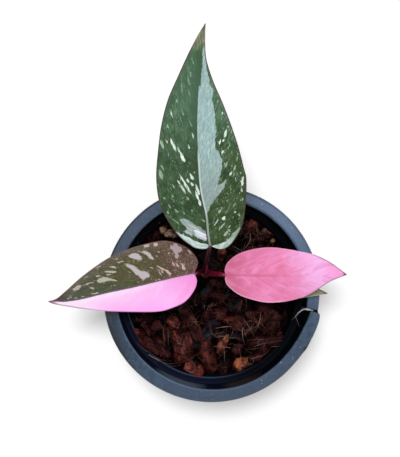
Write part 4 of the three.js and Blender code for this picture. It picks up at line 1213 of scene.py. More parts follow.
def leaf_pink(name, length, under):
    """All-pink blade, deeper at the stalk and pale towards the tip, with soft side veins."""
    look = settings("leaf")
    on = LeafFinish(name, length, under)
    on.colour = on.mix(on.step(on.plus(on.share, on.wander), -0.1, 0.32), look.pink_deep, look.pink)
    drift = on.plus(on.plus(on.share, on.times(on.wander, 0.5)), on.times(on.across, 0.006))
    on.lay(on.step(drift, 0.42, 0.8), look.pink_pale)
    on.lay(on.step(on.share, 0.72, 0.92), "d685bb", 0.85)
    # Painted light: the lower half is made a little paler to offset its shading.
    on.lay(on.below(on.across, -6.0, 2.0), look.pink_pale, 0.04)
    broad = on.noise(on.vector(on.times(on.fan, 0.26), on.times(on.reach, 0.1), 5.0),
                     1.0, 3.0, 0.5, 0.8)
    on.lay(on.step(broad, 0.48, 0.68), look.pink_deep, 0.26)
    on.lay(on.below(broad, 0.34, 0.48), "d585ad", 0.3)
    on.lay(on.streaks(0.5, 0.09, 3.0, 0.44, 0.74), look.pink_deep, 0.15)
    on.lay(on.step(on.skin["Mottle"], 0.44, 0.66), look.pink_pale, 0.14)
    on.lay(on.times(on.veins["Line"], on.below(on.share, 0.45, 0.75)), look.pink_deep, 0.22)
    rib = on.times(on.below(on.off, 0.3, 1.1), on.below(on.share, 0.25, 0.6))
    on.lay(rib, look.pink_deep, 0.5)
    flank = on.times(on.below(on.edge, 0.4, 3.0), on.below(on.share, 0.35, 0.6), on.left)
    on.lay(flank, "b0658a", 0.35)
    on.lay(on.flecks(0.45, 0.6, 0.22, 31.0), "d8b4c8", 0.25)
    on.lay(on.times(on.below(on.edge, 0.2, 0.6), on.step(on.share, 0.6, 0.8)), "6d5a54", 0.8)
    low_rim = on.times(on.below(on.edge, 0.3, 1.0), on.below(on.share, 0.4, 0.6),
                       on.blend(on.left, 1.0, 0.3))
    on.lay(low_rim, "cf9ab8", 0.45)
    on.lay(on.tip(3.4, 0.8), "47202c", 0.9)
    return on.close_blade(0.44, "8a4a5e")


def leaf_small_green(name, length, under):
    """Older small blade: olive and maroon with a cream streak."""
    look = settings("leaf")
    on = LeafFinish(name, length, under)
    on.colour = on.mix(on.step(on.skin["Mottle"], 0.4, 0.62), "6f7b55", "7a7a5e")
    on.lay(on.tip(9.0, 5.0), "76655c", 0.85)
    on.lay(on.veins["Line"], "5c5c4c", 0.4)
    on.lay(on.flecks(0.6, 1.8, 0.36, 41.0), look.cream, 0.5)
    on.lay(on.torn(on.inside, 0.55), "a9ab8c", 0.9)
    on.lay(on.below(on.off, 0.2, 0.4), "7a6a50", 0.7)
    on.lay(on.below(on.edge, 0.2, 0.7), on.mix(on.left, "8f8a72", look.margin), 0.8)
    on.lay(on.tip(4.0, 1.0), "42302f", 0.9)
    return on.close_blade(0.45, "54402f")


# ---- Pot -------------------------------------------------------------------------------

def swept_shell(section, sides, name):
    """Extrudes a circle from ring to ring along a section, and closes both ends."""
    radius, height = section[0]
    piece = start_ring(sides, radius, (0, 0, height * MM))
    for (near, low), (far, high) in zip(section, section[1:]):
        next_ring(high - low, far / near)
    return close_shell(piece, name)


def cutter_box(size, radius, degrees, height):
    """A box whose first side points away from the pot's axis."""
    bpy.ops.mesh.primitive_cube_add(size=1, location=polar(radius, degrees, height),
                                    rotation=(0, 0, math.radians(degrees)),
                                    scale=[side * MM for side in size])
    return bpy.context.object


def split_cutter():
    """A thin wedge with a jagged middle, for the split through the rim."""
    length = 16
    size = (length, 1, SPLIT["depth"] * 2)
    piece = cutter_box(size, SPLIT["middle"], SPLIT["angle"], RIM_TOP)
    bpy.ops.object.transform_apply(location=False, rotation=False, scale=True)
    bpy.ops.object.mode_set(mode="EDIT")
    bpy.ops.mesh.subdivide(number_cuts=9)
    bpy.ops.object.mode_set(mode="OBJECT")
    points = read_points(piece.data)
    share = points[:, 0] / (length * MM) + 0.5
    width = lerp(SPLIT["inside"], SPLIT["outside"], share)
    zigzag = 0.22 * np.sin(share * 17) + 0.14 * np.sin(share * 41 + points[:, 2] / MM * 0.9)
    points[:, 1] = points[:, 1] * width + zigzag * MM
    write_points(piece.data, points)
    return piece


def split_shade_sheet():
    """A dark sheet in the hollow below the split, painted shade seen through the gap."""
    bearing = SPLIT["angle"] + SPLIT_SHADE_SHEET["turn"]
    split_part = cutter_box(SPLIT_SHADE_SHEET["size"], SPLIT_SHADE_SHEET["radius"], bearing, SPLIT_SHADE_SHEET["height"])
    apply_place(split_part)
    apply_modifier(split_part, "BEVEL", width=0.15 * MM, segments=2)
    return split_part


def pot_cutters():
    """Boxes and cylinders for the split, the nick, the drain holes and the foot's slots."""
    nick = (RIM_NICK["depth"] * 2, RIM_NICK["width"], RIM_NICK["height"] * 2)
    slot = (FOOT_SLOTS["depth"] * 2, FOOT_SLOTS["width"], FOOT_SLOTS["height"] * 2)
    cutters = [split_cutter(), cutter_box(nick, RIM_NICK["edge"], RIM_NICK["angle"], RIM_TOP)]
    for i in range(DRAIN_HOLES["count"]):
        bpy.ops.mesh.primitive_cylinder_add(
            vertices=36, radius=DRAIN_HOLES["radius"] * MM, depth=10 * MM,
            location=polar(DRAIN_HOLES["circle"], i * 360 / DRAIN_HOLES["count"], 0))
        cutters.append(bpy.context.object)
    for i in range(FOOT_SLOTS["count"]):
        cutters.append(cutter_box(slot, FOOT_SLOTS["circle"],
                                  (i + 0.5) * 360 / FOOT_SLOTS["count"], 0))
    for cutter in cutters:
        apply_place(cutter)
    return cutters


def bend_at_split(points):
    """Pushes the rim out on one side of the split and in on the other, fading round the rim."""
    x, y, z = points.T / MM
    turn = (np.degrees(np.arctan2(y, x)) - SPLIT["angle"] + 180) % 360 - 180
    fade = 1 - smoothstep(np.abs(turn), 0, SPLIT["spread"])
    shift = np.where(turn < 0, SPLIT["out"], -SPLIT["in"]) * fade
    radius = np.maximum(np.hypot(x, y), 1)
    # One side of the split draws back at its inner part, and its outer corner turns in.
    split_part = np.where(turn < 0, smoothstep(z, 92, 98), 0)
    shift += split_part * SPLIT["recede"] * (1 - smoothstep(-turn, 0, 14)) * (
        1 - smoothstep(radius, 53, 57))
    shift -= split_part * SPLIT["corner"] * (1 - smoothstep(-turn, 0, 2.6)) * smoothstep(radius, 57, 60)
    bearings, outer, inner = np.array(RIM_WARP).T
    where = np.degrees(np.arctan2(y, x)) % 360
    warps = [np.interp(where, bearings, side, period=360) for side in (inner, outer)]
    shift += lerp(*warps, smoothstep(radius, 53.5, 59))
    scale = 1 + shift * smoothstep(z, LEDGE_FOOT, RIM_TOP) / radius
    return np.stack([points[:, 0] * scale, points[:, 1] * scale, points[:, 2]], axis=1)


def make_pot():
    """The shell with its openings cut, a darker inside, and its rim warped and split."""
    pot = swept_shell(POT_SECTION, settings("pot").sides, "nursery_pot")
    cutters = pot_cutters()
    for cutter in cutters:
        apply_modifier(pot, "BOOLEAN", operation="DIFFERENCE", solver="EXACT", object=cutter)
    drop(cutters)
    # The dark sheet takes the near-black inside material along with the hollow.
    pot = join([pot, split_shade_sheet()], "nursery_pot")
    pot.data.materials.append(pot_plastic())
    pot.data.materials.append(pot_inside())
    for face in pot.data.polygons:
        x, y, z = face.center / MM
        radius = math.hypot(x, y)
        outward = (face.normal.x * x + face.normal.y * y) / max(radius, 1)
        # The near-black inside, painted shade, goes on the wall, the ledge, the floor and the hollow
        # under the rim.
        wall = outward < -0.3 and radius < 52.8
        ledge = 86.5 < z < 90 and face.normal.z > 0.3 and radius < 52.6
        floor = z < 2.6 and face.normal.z > 0.5 and radius < 41.5
        hollow = z < 96.4 and 54.5 < radius < 59.2
        face.material_index = int(wall or ledge or floor or hollow)
    write_points(pot.data, bend_at_split(read_points(pot.data)))
    smooth(pot, 32)
    bind(pot, "pot")


# ---- Bark bed --------------------------------------------------------------------------

def bed_height(x, y):
    """The bed slopes down to the right and to the back, with soft hollows."""
    return BED_LEVEL - 0.045 * x - 0.03 * y + 1.1 * np.sin(x / 9 + 1) * np.cos(y / 11)


def well_radius(height):
    """The radius inside the pot that the bed may fill, at a height."""
    heights, radii = zip(*WELL)
    return np.interp(height, heights, radii)


def make_mix():
    """The fine mix: a disc of rings pulled inwards, made rough, and walled down to the floor."""
    clear_selection()
    outer = float(well_radius(BED_LEVEL)) - 0.3
    bpy.ops.mesh.primitive_circle_add(vertices=MIX_SIDES, radius=outer * MM)
    piece = bpy.context.object
    bpy.ops.object.mode_set(mode="EDIT")
    bpy.ops.mesh.select_mode(type="EDGE")
    for ring in range(MIX_RINGS, 1, -1):
        next_ring(0, (ring - 1) / ring)
    bpy.ops.mesh.edge_face_add()
    pick(piece, lambda co: co.length > (outer - 0.1) * MM)
    wall = [(BED_LEVEL, outer), *MIX_WALL]
    for (high, near), (low, far) in zip(wall, wall[1:]):
        next_ring(low - high, far / near)
    close_shell(piece, "bark_mix")
    for vertex in piece.data.vertices:
        x, y, z = vertex.co / MM
        if z > -1:
            lump = noise.noise(Vector((x, y, 4)) * 0.32) * 1.7
            lump += noise.noise(Vector((x, y, 9)) * 1.1) * 0.9
            vertex.co.z = (bed_height(x, y) - 0.9 + lump) * MM
        else:
            vertex.co.z += BED_LEVEL * MM
    smooth(piece, 50)
    return piece


def cut_corners(draw, cuts, down, near, far):
    """Cuts a block by slanted planes at random, each of them from near to far out."""
    for _ in range(cuts):
        way = Vector((draw.uniform(-1, 1), draw.uniform(-1, 1), draw.uniform(down, 1))).normalized()
        bpy.ops.mesh.select_all(action="SELECT")
        bpy.ops.mesh.bisect(plane_co=way * draw.uniform(near, far), plane_no=way,
                            use_fill=True, clear_outer=True)


def chunk_model(index, cuts, bumps, cell):
    """One lump of bark: a block cut by slanted planes, remeshed and worn along its grain."""
    draw = random.Random(index)
    clear_selection()
    bpy.ops.mesh.primitive_cube_add(size=2)
    piece = bpy.context.object
    bpy.ops.object.mode_set(mode="EDIT")
    cut_corners(draw, cuts, -0.9, 0.78, 0.98)
    bpy.ops.object.mode_set(mode="OBJECT")
    apply_modifier(piece, "REMESH", mode="VOXEL", voxel_size=cell)
    points = read_points(piece.data)
    for point in points:
        x, y, z = point
        ridge = 1 - 2.4 * abs(noise.noise(Vector((x * 0.7 + index, y * 3.4, z * 3.4))))
        fine = noise.noise(Vector((x * 1.4, y * 7, z * 7)) + Vector((index, 0, 0)))
        lump = noise.noise(Vector(point) * 1.7 + Vector((index, 0, 0)))
        torn = smoothstep(abs(x), 0.55, 1) * noise.noise(Vector((x * 2, y * 7, z * 7)))
        point *= 1 + bumps * (0.8 * ridge + 0.3 * fine + 1.1 * lump + 1.6 * torn)
    write_points(piece.data, points)
    apply_modifier(piece, "SMOOTH", factor=0.5, iterations=3)
    smooth(piece, 38)
    return piece


def grit_model(index):
    """A small angular grain of few faces."""
    draw = random.Random(100 + index)
    clear_selection()
    bpy.ops.mesh.primitive_ico_sphere_add(subdivisions=1, radius=1)
    piece = bpy.context.object
    bpy.ops.object.mode_set(mode="EDIT")
    cut_corners(draw, 3, -1, 0.45, 0.75)
    bpy.ops.mesh.select_all(action="SELECT")
    bpy.ops.transform.vertex_random(offset=0.12, seed=index)
    bpy.ops.object.mode_set(mode="OBJECT")
    smooth(piece, 25)
    return piece


def placed_copy(model, matrix, tone, seed):
    """A copy with its own mesh, laid in place, that remembers its tone and its grain."""
    mesh = model.data.copy()
    points = read_points(mesh)
    layer = mesh.attributes.new("grain", "FLOAT_VECTOR", "POINT")
    layer.data.foreach_set("vector", np.ascontiguousarray(points).ravel())
    paint(mesh, "tone", np.full(len(points), tone))
    paint(mesh, "seed", np.full(len(points), seed))
    mesh.transform(matrix)
    points = read_points(mesh)
    limit = well_radius(points[:, 2] / MM) * MM
    radius = np.hypot(points[:, 0], points[:, 1])
    inward = np.minimum(1, limit / np.maximum(radius, 1e-6))
    points[:, :2] *= inward[:, None]
    write_points(mesh, points)
    x, y, z = points.T / MM
    # Height above the bed, which the bark material turns into painted shade.
    paint(mesh, "rise", z - bed_height(x, y))
    piece = bpy.data.objects.new(model.name, mesh)
    bpy.context.collection.objects.link(piece)
    return piece


def turned_place(x, y, z, size, roll, pitch, yaw):
    """The matrix that sizes a model, tips it, turns it and lays it at a place in millimetres."""
    turn = Euler([math.radians(angle) for angle in (roll, pitch, yaw)], "XYZ").to_matrix()
    return (Matrix.Translation(Vector((x, y, z)) * MM) @ turn.to_4x4()
            @ Matrix.Diagonal((*(Vector(size) * MM / 2), 1)))


def scattered_chips():
    """Chips on a sunflower pattern, loosened and sized at random, clear of stem and key chips."""
    chips = []
    for i in range(CHIP_COUNT):
        radius = CHIP_SPREAD * math.sqrt((i + 0.5) / CHIP_COUNT)
        angle = math.radians(i * GOLDEN_ANGLE)
        x = radius * math.cos(angle) + lerp(-2, 2, scatter(i, 4))
        y = radius * math.sin(angle) + lerp(-2, 2, scatter(i, 5))
        length = lerp(4.5, 14, scatter(i, 6) ** 1.8)
        width = length * lerp(0.3, 0.8, scatter(i, 7))
        covered = any(math.hypot(x - chip[0], y - chip[1]) < chip[2] * 0.36 for chip in KEY_CHIPS)
        at_stem = math.hypot(x - STEM["x"], y - STEM["y"]) < 7
        if not covered and not at_stem:
            tone = lerp(0.22, 0.6, scatter(i, 14)) if scatter(i, 15) > 0.14 else 0.07
            chips.append((x, y, length, width, lerp(2.6, 5.4, scatter(i, 8)),
                          180 * scatter(i, 9), tone))
    return chips


def make_chips():
    """Large chips, each a copy of one of the blocks, sticks or small lumps."""
    blocks = [chunk_model(i, cuts=9, bumps=0.13, cell=0.115) for i in range(4)]
    sticks = [chunk_model(20 + i, cuts=5, bumps=0.1, cell=0.115) for i in range(3)]
    lumps = [chunk_model(30 + i, cuts=8, bumps=0.12, cell=0.18) for i in range(4)]
    copies = {"bark_chips": [], "bark_pieces": []}
    for index, chip in enumerate([*KEY_CHIPS, *scattered_chips()]):
        x, y, length, width, thickness, yaw, tone = chip
        family = lumps if length < 9 else sticks if length > 1.9 * width else blocks
        key = index < len(KEY_CHIPS)
        lowest, highest, tilt = (0.3, 0.5, 9) if key else (-0.2, 0.3, 24)
        rise = thickness * lerp(lowest, highest, scatter(index, 3))
        place = turned_place(x, y, bed_height(x, y) + rise, (length, width, thickness),
                             lerp(-tilt, tilt, scatter(index, 1)),
                             lerp(-tilt, tilt, scatter(index, 2)), yaw)
        copies["bark_chips" if key else "bark_pieces"].append(
            placed_copy(family[index % len(family)], place, tone, scatter(index, 16)))
    drop(blocks + sticks + lumps)
    return [join(made, name) for name, made in copies.items()]


def surface_below(pieces):
    """A function that finds how high the pieces lie at a place."""
    trees = []
    for piece in pieces:
        corners = [vertex.co.copy() for vertex in piece.data.vertices]
        trees.append(BVHTree.FromPolygons(corners, [list(p.vertices) for p in piece.data.polygons]))

    def find(x, y):
        above = Vector((x * MM, y * MM, FALL_START * MM))
        hits = [tree.ray_cast(above, Vector((0, 0, -1))) for tree in trees]
        heights = [hit[0].z for hit in hits if hit[0]]
        return max(heights) / MM if heights else bed_height(x, y)
    return find


def random_place(draw, spread):
    """A place strewn evenly within a circle round the axis."""
    radius = spread * math.sqrt(draw.random())
    angle = draw.uniform(0, 2 * math.pi)
    return radius * math.cos(angle), radius * math.sin(angle)


def make_grit(find):
    """Slivers and crumbs that lie in the gaps and on the chips."""
    look = settings("bed")
    models = [grit_model(i) for i in range(6)]
    draw = random.Random(7)
    copies = []
    for index in range(look.small_chips + look.crumbs):
        sliver = index < look.small_chips
        x, y = random_place(draw, GRIT_SPREAD)
        length = draw.uniform(3.0, 9.0) if sliver else draw.uniform(0.7, 2.2)
        width = length * (draw.uniform(0.1, 0.32) if sliver else draw.uniform(0.5, 0.95))
        low = find(x, y)
        if sliver and low > bed_height(x, y) + 2.5:
            low -= 1.2
        tone = draw.choice((0.08, 0.3, 0.38, 0.45, 0.52, 0.6, 0.66)) + draw.uniform(-0.05, 0.05)
        place = turned_place(x, y, low + width * 0.2, (length, width, width * 0.8),
                             draw.uniform(-40, 40), draw.uniform(-25, 25), draw.uniform(0, 360))
        copies.append(placed_copy(models[index % len(models)], place, tone, draw.random()))
    drop(models)
    return join(copies, "bark_grit")


def strewn_thread(draw, find):
    """A short curling thread at random: its points on the bed and its radius at each."""
    x, y = random_place(draw, THREAD_SPREAD)
    heading, curl = draw.uniform(0, 2 * math.pi), draw.uniform(-0.5, 0.5)
    stride, rise = draw.uniform(0.9, 3.2), draw.uniform(0.1, 0.9)
    laid = []
    for step in range(5):
        reach = math.hypot(x, y)
        if reach > THREAD_LIMIT:
            x, y = x * THREAD_LIMIT / reach, y * THREAD_LIMIT / reach
        laid.append((x, y, find(x, y) + 0.2 + rise * math.sin(step * math.pi / 4)))
        x += stride * math.cos(heading)
        y += stride * math.sin(heading)
        heading += curl
    thick = draw.uniform(0.05, 0.13)
    return laid, [thick * 0.5, thick, thick, thick, thick * 0.4]


def make_threads(find):
    """Husk threads: the long ones at their places, and short ones strewn at random."""
    placed = []
    for points, radius in THREADS:
        laid = [(x, y, bed_height(x, y) + up) for x, y, up in points]
        placed.append((laid, [radius * 0.6] + [radius * 0.8] * (len(laid) - 2) + [radius * 0.3]))
    draw = random.Random(23)
    strewn = [strewn_thread(draw, find) for _ in range(settings("bed").fibres)]
    return tube("long_threads", placed, 1), tube("husk_threads", strewn, 1)


def make_bed():
    """Lays the mix, the chips on it, the grit on them and the threads on top, and one root."""
    mix = make_mix()
    chips = make_chips()
    grit = make_grit(surface_below([mix, *chips]))
    long_threads, threads = make_threads(surface_below([mix, *chips, grit]))
    root = tube("split_root", [(SPLIT_ROOT, SPLIT_ROOT_RADII),
                               (SPLIT_ROOTLET, SPLIT_ROOTLET_RADII)], 3)
    rough = bark_material("bark_chip")
    finishes = {
        mix: bark_mix(), chips[0]: rough, chips[1]: rough, grit: bark_material("bark_grit", 0.6),
        threads: husk_fibre("husk_fibre", "22100c", "40241a", settings("bed").fibre),
        long_threads: husk_fibre("long_fibre", "3a2a26", "5a4640", "8c766c"),
        root: root_skin(),
    }
    for piece, finish in finishes.items():
        bind(piece, "bark_bed", finish)
        piece.data.validate()


# ---- Stem and stalks -------------------------------------------------------------------

def stem_radius(height):
    """The stem's radius at a height: it tapers, swells at its nodes and narrows at its tip."""
    share = (height - STEM["foot"]) / (STEM["top"] - STEM["foot"])
    swelling = STEM["swelling"] * sum(bell(height - node, 0.55) for node in STEM_NODES)
    narrowing = 1 - 0.55 * smoothstep(height, STEM["top"] - 1.6, STEM["top"])
    return (lerp(STEM["radius"], STEM["tip"], share) + swelling) * narrowing


def make_stem():
    """A stem drawn up ring by ring, with scars on its nodes."""
    x, y = STEM["x"] * MM, STEM["y"] * MM
    piece = start_ring(STEM["sides"], STEM["radius"], (x, y, STEM["foot"] * MM))
    rings = np.linspace(STEM["foot"], STEM["top"], STEM["rings"] + 1)
    for low, high in zip(rings, rings[1:]):
        next_ring(high - low, stem_radius(high) / stem_radius(low), (x, y, 0))
    close_shell(piece, "ringed_stem")
    heights = read_points(piece.data)[:, 2] / MM
    paint(piece.data, "marked_spot", sum(bell(heights - node, 0.6) for node in STEM_NODES))
    smooth(piece, 60)
    bind(piece, "stem", stem_skin())


def make_stalk(name, blade):
    """A stalk that runs on into the rib below its blade."""
    stalk = STALKS[name]
    places = smooth_route(stalk["route"], STALK_STEPS)
    thick = thicknesses(stalk["radii"], STALK_STEPS)
    for along, share in RUN_ON:
        radius = share * stalk["radii"][-1][1]
        under = blade.surface(np.array([along]), np.array([0.0]), -0.12 - radius)[0] / MM
        places.append(under)
        thick.append(radius)
    piece = tube("stalk_" + name, [(places, thick)], 5)
    points, route = read_points(piece.data) / MM, np.array(places)
    near = np.argmin(np.abs(points[:, 2:] - route[:, 2]), axis=1)
    # How far right of its route each place lies, for the painted highlight on the top stalk.
    paint(piece.data, "right", (points[:, 0] - route[near, 0]) / np.array(thick)[near])
    look = settings("stalk")
    if name == "top":
        material = stalk_skin("stalk_dusky", look.dusky, "1c090c", "6a4642", lit=True)
    else:
        material = stalk_skin("stalk_crimson_" + name, look.crimson, look.maroon, "8a4a58",
                              marked_spot=LEFT_PALE_SPOT if name == "left" else None)
    bind(piece, "petiole_" + name, material)


def make_new_leaf():
    """The rolled new leaf: a spike with the overlapping edge of its roll."""
    steps = NEW_LEAF["steps"]
    places = smooth_route(NEW_LEAF["route"], steps)
    thick = thicknesses(NEW_LEAF["radii"], steps)
    body = tube("new_leaf_roll", [(places, thick)], 5)
    wrap = [Vector(place) + Vector((math.cos(at * 3), math.sin(at * 3), 0)) * radius * 0.72
            for place, radius, at in zip(places, thick, np.linspace(0, 1, steps))]
    seam = tube("new_leaf_seam", [(wrap[1:-1], [0.34 * t for t in thick[1:-1]])], 2)
    piece = join([body, seam], "new_leaf_spike")
    skin = stalk_skin("new_leaf_skin", "6a0e2a", settings("stalk").maroon, "d08a9a")
    bind(piece, "new_leaf", skin)


# ---- Blades ----------------------------------------------------------------------------

class Blade:
    """The curved surface of one leaf, from its midrib and its two margins."""

    SAMPLES = 400

    def __init__(self, name):
        self.name = name
        self.leaf = leaf = LEAVES[name]
        self.corners = np.array(leaf["midrib"], dtype=float)
        self.at = np.linspace(0, 1, self.SAMPLES + 1)
        self.run = path_run(self.bezier(self.at))
        self.length = self.run[-1]
        self.margins = {1: self.margin(leaf["left"]), -1: self.margin(leaf["right"])}
        self.spans = [line[np.argmin(line[:, 0]):].T for line in self.margins.values()]
        self.half_width = max(across for _, across in leaf["left"] + leaf["right"])

    def bezier(self, at):
        a, b, c, d = self.corners
        t = np.asarray(at)[:, None]
        return (1 - t) ** 3 * a + 3 * (1 - t) ** 2 * t * b + 3 * (1 - t) * t ** 2 * c + t ** 3 * d

    def tangent(self, at):
        a, b, c, d = self.corners
        t = np.asarray(at)[:, None]
        way = (1 - t) ** 2 * (b - a) + 2 * (1 - t) * t * (c - b) + t ** 2 * (d - c)
        return way / np.linalg.norm(way, axis=1)[:, None]

    def margin(self, points):
        """A margin's points at even steps of its length, as a smooth line through the table."""
        table = [(0, 0), *points, (self.length, 0)]
        flat = [(along, across, 0) for along, across in table]
        line = np.array(smooth_route(flat, self.SAMPLES + 1))[:, :2]
        run = path_run(line)
        even = np.linspace(0, run[-1], self.SAMPLES + 1)
        return np.stack([np.interp(even, run, line[:, 0]), np.interp(even, run, line[:, 1])], 1)

    def bent(self, along, across):
        """The distance across with the midrib's bends, which die out at the margins."""
        bends = RIB_BENDS.get(self.name, [])
        shift = sum(size * bell(along - at, spread) for at, spread, size in bends)
        width = np.where(across > 0, *[np.interp(along, *span) for span in self.spans])
        return across + shift * (1 - np.clip(np.abs(across) / np.maximum(width, 0.01), 0, 1))

    def surface(self, along, across, lift):
        """Places on the blade, `lift` above its middle layer, in metres."""
        leaf = self.leaf
        across = self.bent(along, across)
        inside = np.clip(along, 0, self.length)
        at = np.interp(inside, self.run, self.at)
        forward = self.tangent(at)
        point = self.bezier(at) + forward * (along - inside)[:, None]
        left = np.cross((0, 0, 1), forward)
        left /= np.linalg.norm(left, axis=1)[:, None]
        facing = np.cross(forward, left)
        reach = np.abs(across)
        fold = np.radians(np.where(across > 0, leaf["fold"][0], leaf["fold"][1]))
        height, wave_length, phase = leaf["wave"]
        wave = height * (reach / 20) ** 2 * np.sin(
            2 * np.pi * along / wave_length + phase * np.sign(across))
        rise = reach * np.sin(fold) - leaf["droop"] * reach ** 2 / 2 + wave + lift
        return (point + left * (across * np.cos(fold))[:, None] + facing * rise[:, None]) * MM

    def vein_lines(self, along, across):
        """Follows the side vein through each place back to the midrib.

        Gives the start of that vein, the room between veins, the signed distance along the
        vein and its heading.
        """
        shares, slopes = np.array(VEIN_SLOPES[self.name]).T
        starts = shares * self.length
        off = np.abs(across)
        bow = VEIN_BOW[self.name] / (2 * self.half_width)
        start = along - off
        # Each round brings the start closer to that of the vein that passes through the place.
        for _ in range(20):
            slope = np.interp(start, starts, slopes)
            rate = (np.interp(start + 0.05, starts, slopes) - slope) / 0.05
            start -= (start + slope * off + bow * off ** 2 - along) / (1 + rate * off)
        slope = np.interp(start, starts, slopes)
        table = np.linspace(starts[0], starts[-1], 600)
        room = 1 / np.sqrt(1 + np.interp(table, starts, slopes) ** 2)
        spread = np.concatenate([[0], np.cumsum(room[1:] * np.diff(table))])
        reach = np.sign(across) * off * np.sqrt(1 + (slope + bow * off) ** 2)
        steep = slope + 2 * bow * off
        ways = np.stack([steep, np.where(across < 0, -1.0, 1.0)], axis=1)
        ways /= np.linalg.norm(ways, axis=1)[:, None]
        return start, np.interp(start, table, spread), reach, ways

    def lay_out(self, row, side):
        """(along, across) for a row share and a signed share of the way to the margin."""
        start = self.length * row ** ROW_LEAN
        steps = np.linspace(0, 1, self.SAMPLES + 1)
        reach = np.abs(side)
        along, across, span = np.empty_like(row), np.empty_like(row), np.empty_like(row)
        for sign, line in self.margins.items():
            here = side >= 0 if sign > 0 else side < 0
            end_along = np.interp(row[here], steps, line[:, 0])
            end_across = np.interp(row[here], steps, line[:, 1])
            along[here] = lerp(start[here], end_along, reach[here])
            across[here] = sign * end_across * reach[here]
            span[here] = np.hypot(end_along - start[here], end_across)
        return along, across, span


def patch_depth(outline, along, across):
    """How far each place lies inside an outline; negative outside."""
    corners = np.array(outline, dtype=float)
    inside = np.zeros(len(along), dtype=bool)
    nearest = np.full(len(along), 1e9)
    for (ax, ay), (bx, by) in zip(corners, np.roll(corners, -1, axis=0)):
        share = ((along - ax) * (bx - ax) + (across - ay) * (by - ay)) / (
            (bx - ax) ** 2 + (by - ay) ** 2)
        share = np.clip(share, 0, 1)
        nearest = np.minimum(nearest, np.hypot(along - ax - share * (bx - ax),
                                               across - ay - share * (by - ay)))
        crosses = (ay > across) != (by > across)
        with np.errstate(divide="ignore", invalid="ignore"):
            at = ax + (across - ay) * (bx - ax) / (by - ay)
        inside ^= crosses & (along < at)
    return np.where(inside, nearest, -nearest)


def paint_marks(name, along, across, ways):
    """How deep each place lies in the sector and in the nearest mark, and that mark's brightness."""
    sector = np.full(len(along), -9.0)
    depth = np.full(len(along), -9.0)
    bright = np.zeros(len(along))

    def lay(mark, brightness):
        nonlocal depth, bright
        bright = np.where(mark > depth, brightness, bright)
        depth = np.maximum(depth, mark)

    if name in SECTORS:
        sector = patch_depth(SECTORS[name], along, across)
    for brightness, outline in PATCHES[name]:
        lay(patch_depth(outline, along, across), brightness)
    for mid_along, mid_across, length, width, brightness, *heading in STREAKS[name]:
        if heading:
            turn = math.radians(heading[0])
            way = (math.cos(turn), math.copysign(math.sin(turn), mid_across * turn))
        else:
            way = ways[np.argmin((along - mid_along) ** 2 + (across - mid_across) ** 2)]
        run = (along - mid_along) * way[0] + (across - mid_across) * way[1]
        off = np.abs((across - mid_across) * way[0] - (along - mid_along) * way[1])
        # A streak tapers to both ends, and more to the far one.
        share = np.clip(run / length + 0.5, 0, 1)
        taper = width * 1.2 * (share * (1 - share)) ** 0.7 * (1.2 - 0.6 * share)
        lay(taper - np.hypot(off, np.maximum(np.abs(run) - length / 2, 0)), brightness)
    return sector, depth, bright


def blade_relief(blade, vein, along, off, share, edge):
    """How far the upper face rises or sinks at its side veins, its midrib and its margin."""
    gap = np.abs(vein % 1 - 0.5) * 2
    relief = blade.leaf["vein_depth"] * (smoothstep(gap, 0, 0.9) - 0.6)
    relief *= smoothstep(off, 0.5, 3) * (1 - smoothstep(share, 0.75, 1))
    # The midrib is a fine ridge in a groove, and the edge rolls down.
    thinning = 1 - 0.75 * smoothstep(along, 0, blade.length)
    relief -= 0.34 * bell(off, 0.85) * thinning
    relief += 0.26 * bell(off, 0.32) * thinning
    return relief - 0.12 * bell(edge, 0.5)


def thicken(piece, rib):
    """Makes the sheet a solid blade, thicker by the rib where that stands out below."""
    thin = settings("leaf").thickness / MM
    group = piece.vertex_groups.new(name="thickness")
    for index, weight in enumerate((thin + rib) / (thin + RIB_DEPTH)):
        group.add([index], float(min(weight, 1)), "REPLACE")
    bpy.ops.object.mode_set(mode="EDIT")
    bpy.ops.mesh.select_all(action="SELECT")
    bpy.ops.mesh.remove_doubles(threshold=1e-6)
    bpy.ops.object.mode_set(mode="OBJECT")
    apply_modifier(piece, "SOLIDIFY", thickness=(thin + RIB_DEPTH) * MM, offset=-1,
                   vertex_group="thickness", thickness_vertex_group=0.02, use_rim=True,
                   material_offset=1, material_offset_rim=0)
    piece.vertex_groups.clear()


def make_blade(name, blade, build):
    """A grid shaped into one leaf, marked for its materials, and thickened."""
    rows, columns = blade.leaf["grid"]
    clear_selection()
    bpy.ops.mesh.primitive_grid_add(x_subdivisions=columns, y_subdivisions=rows, size=2)
    piece = rename(bpy.context.object, "blade_" + name)
    mesh = piece.data
    grid = read_points(mesh)
    row = np.clip((grid[:, 1] + 1) / 2, 0, 1)
    side = -np.sign(grid[:, 0]) * np.abs(grid[:, 0]) ** 1.25
    side[np.abs(side) < 1e-5] = 0
    along, across, span = blade.lay_out(row, side)
    start, fan, reach, ways = blade.vein_lines(along, across)
    share, off = np.abs(side), np.abs(across)
    vein = start / blade.length * blade.leaf["veins"]
    edge = (1 - share) * span * 0.75
    relief = blade_relief(blade, vein, along, off, share, edge)
    relief[(row == 0) | (row == 1)] = 0
    write_points(mesh, blade.surface(along, across, BLADE_TOP + relief))
    sector, depth, bright = paint_marks(name, along, blade.bent(along, across), ways)
    for title, values in {"along": along, "across": across, "fan": fan, "reach": reach,
                          "vein": vein, "edge": edge, "sector": sector, "inside": depth,
                          "bright": bright}.items():
        paint(mesh, title, values)
    for under in (False, True):
        mesh.materials.append(build("leaf_" + name, blade.length, under))
    thicken(piece, RIB_DEPTH * bell(off, 0.95) * (1 - 0.8 * row))
    smooth(piece, 50)
    return piece


def make_leaf(name, build):
    """One leaf: its blade and the stalk that carries it."""
    blade = Blade(name)
    bind(make_blade(name, blade, build), "leaf_" + name)
    make_stalk(name, blade)


# ---- Stage -----------------------------------------------------------------------------

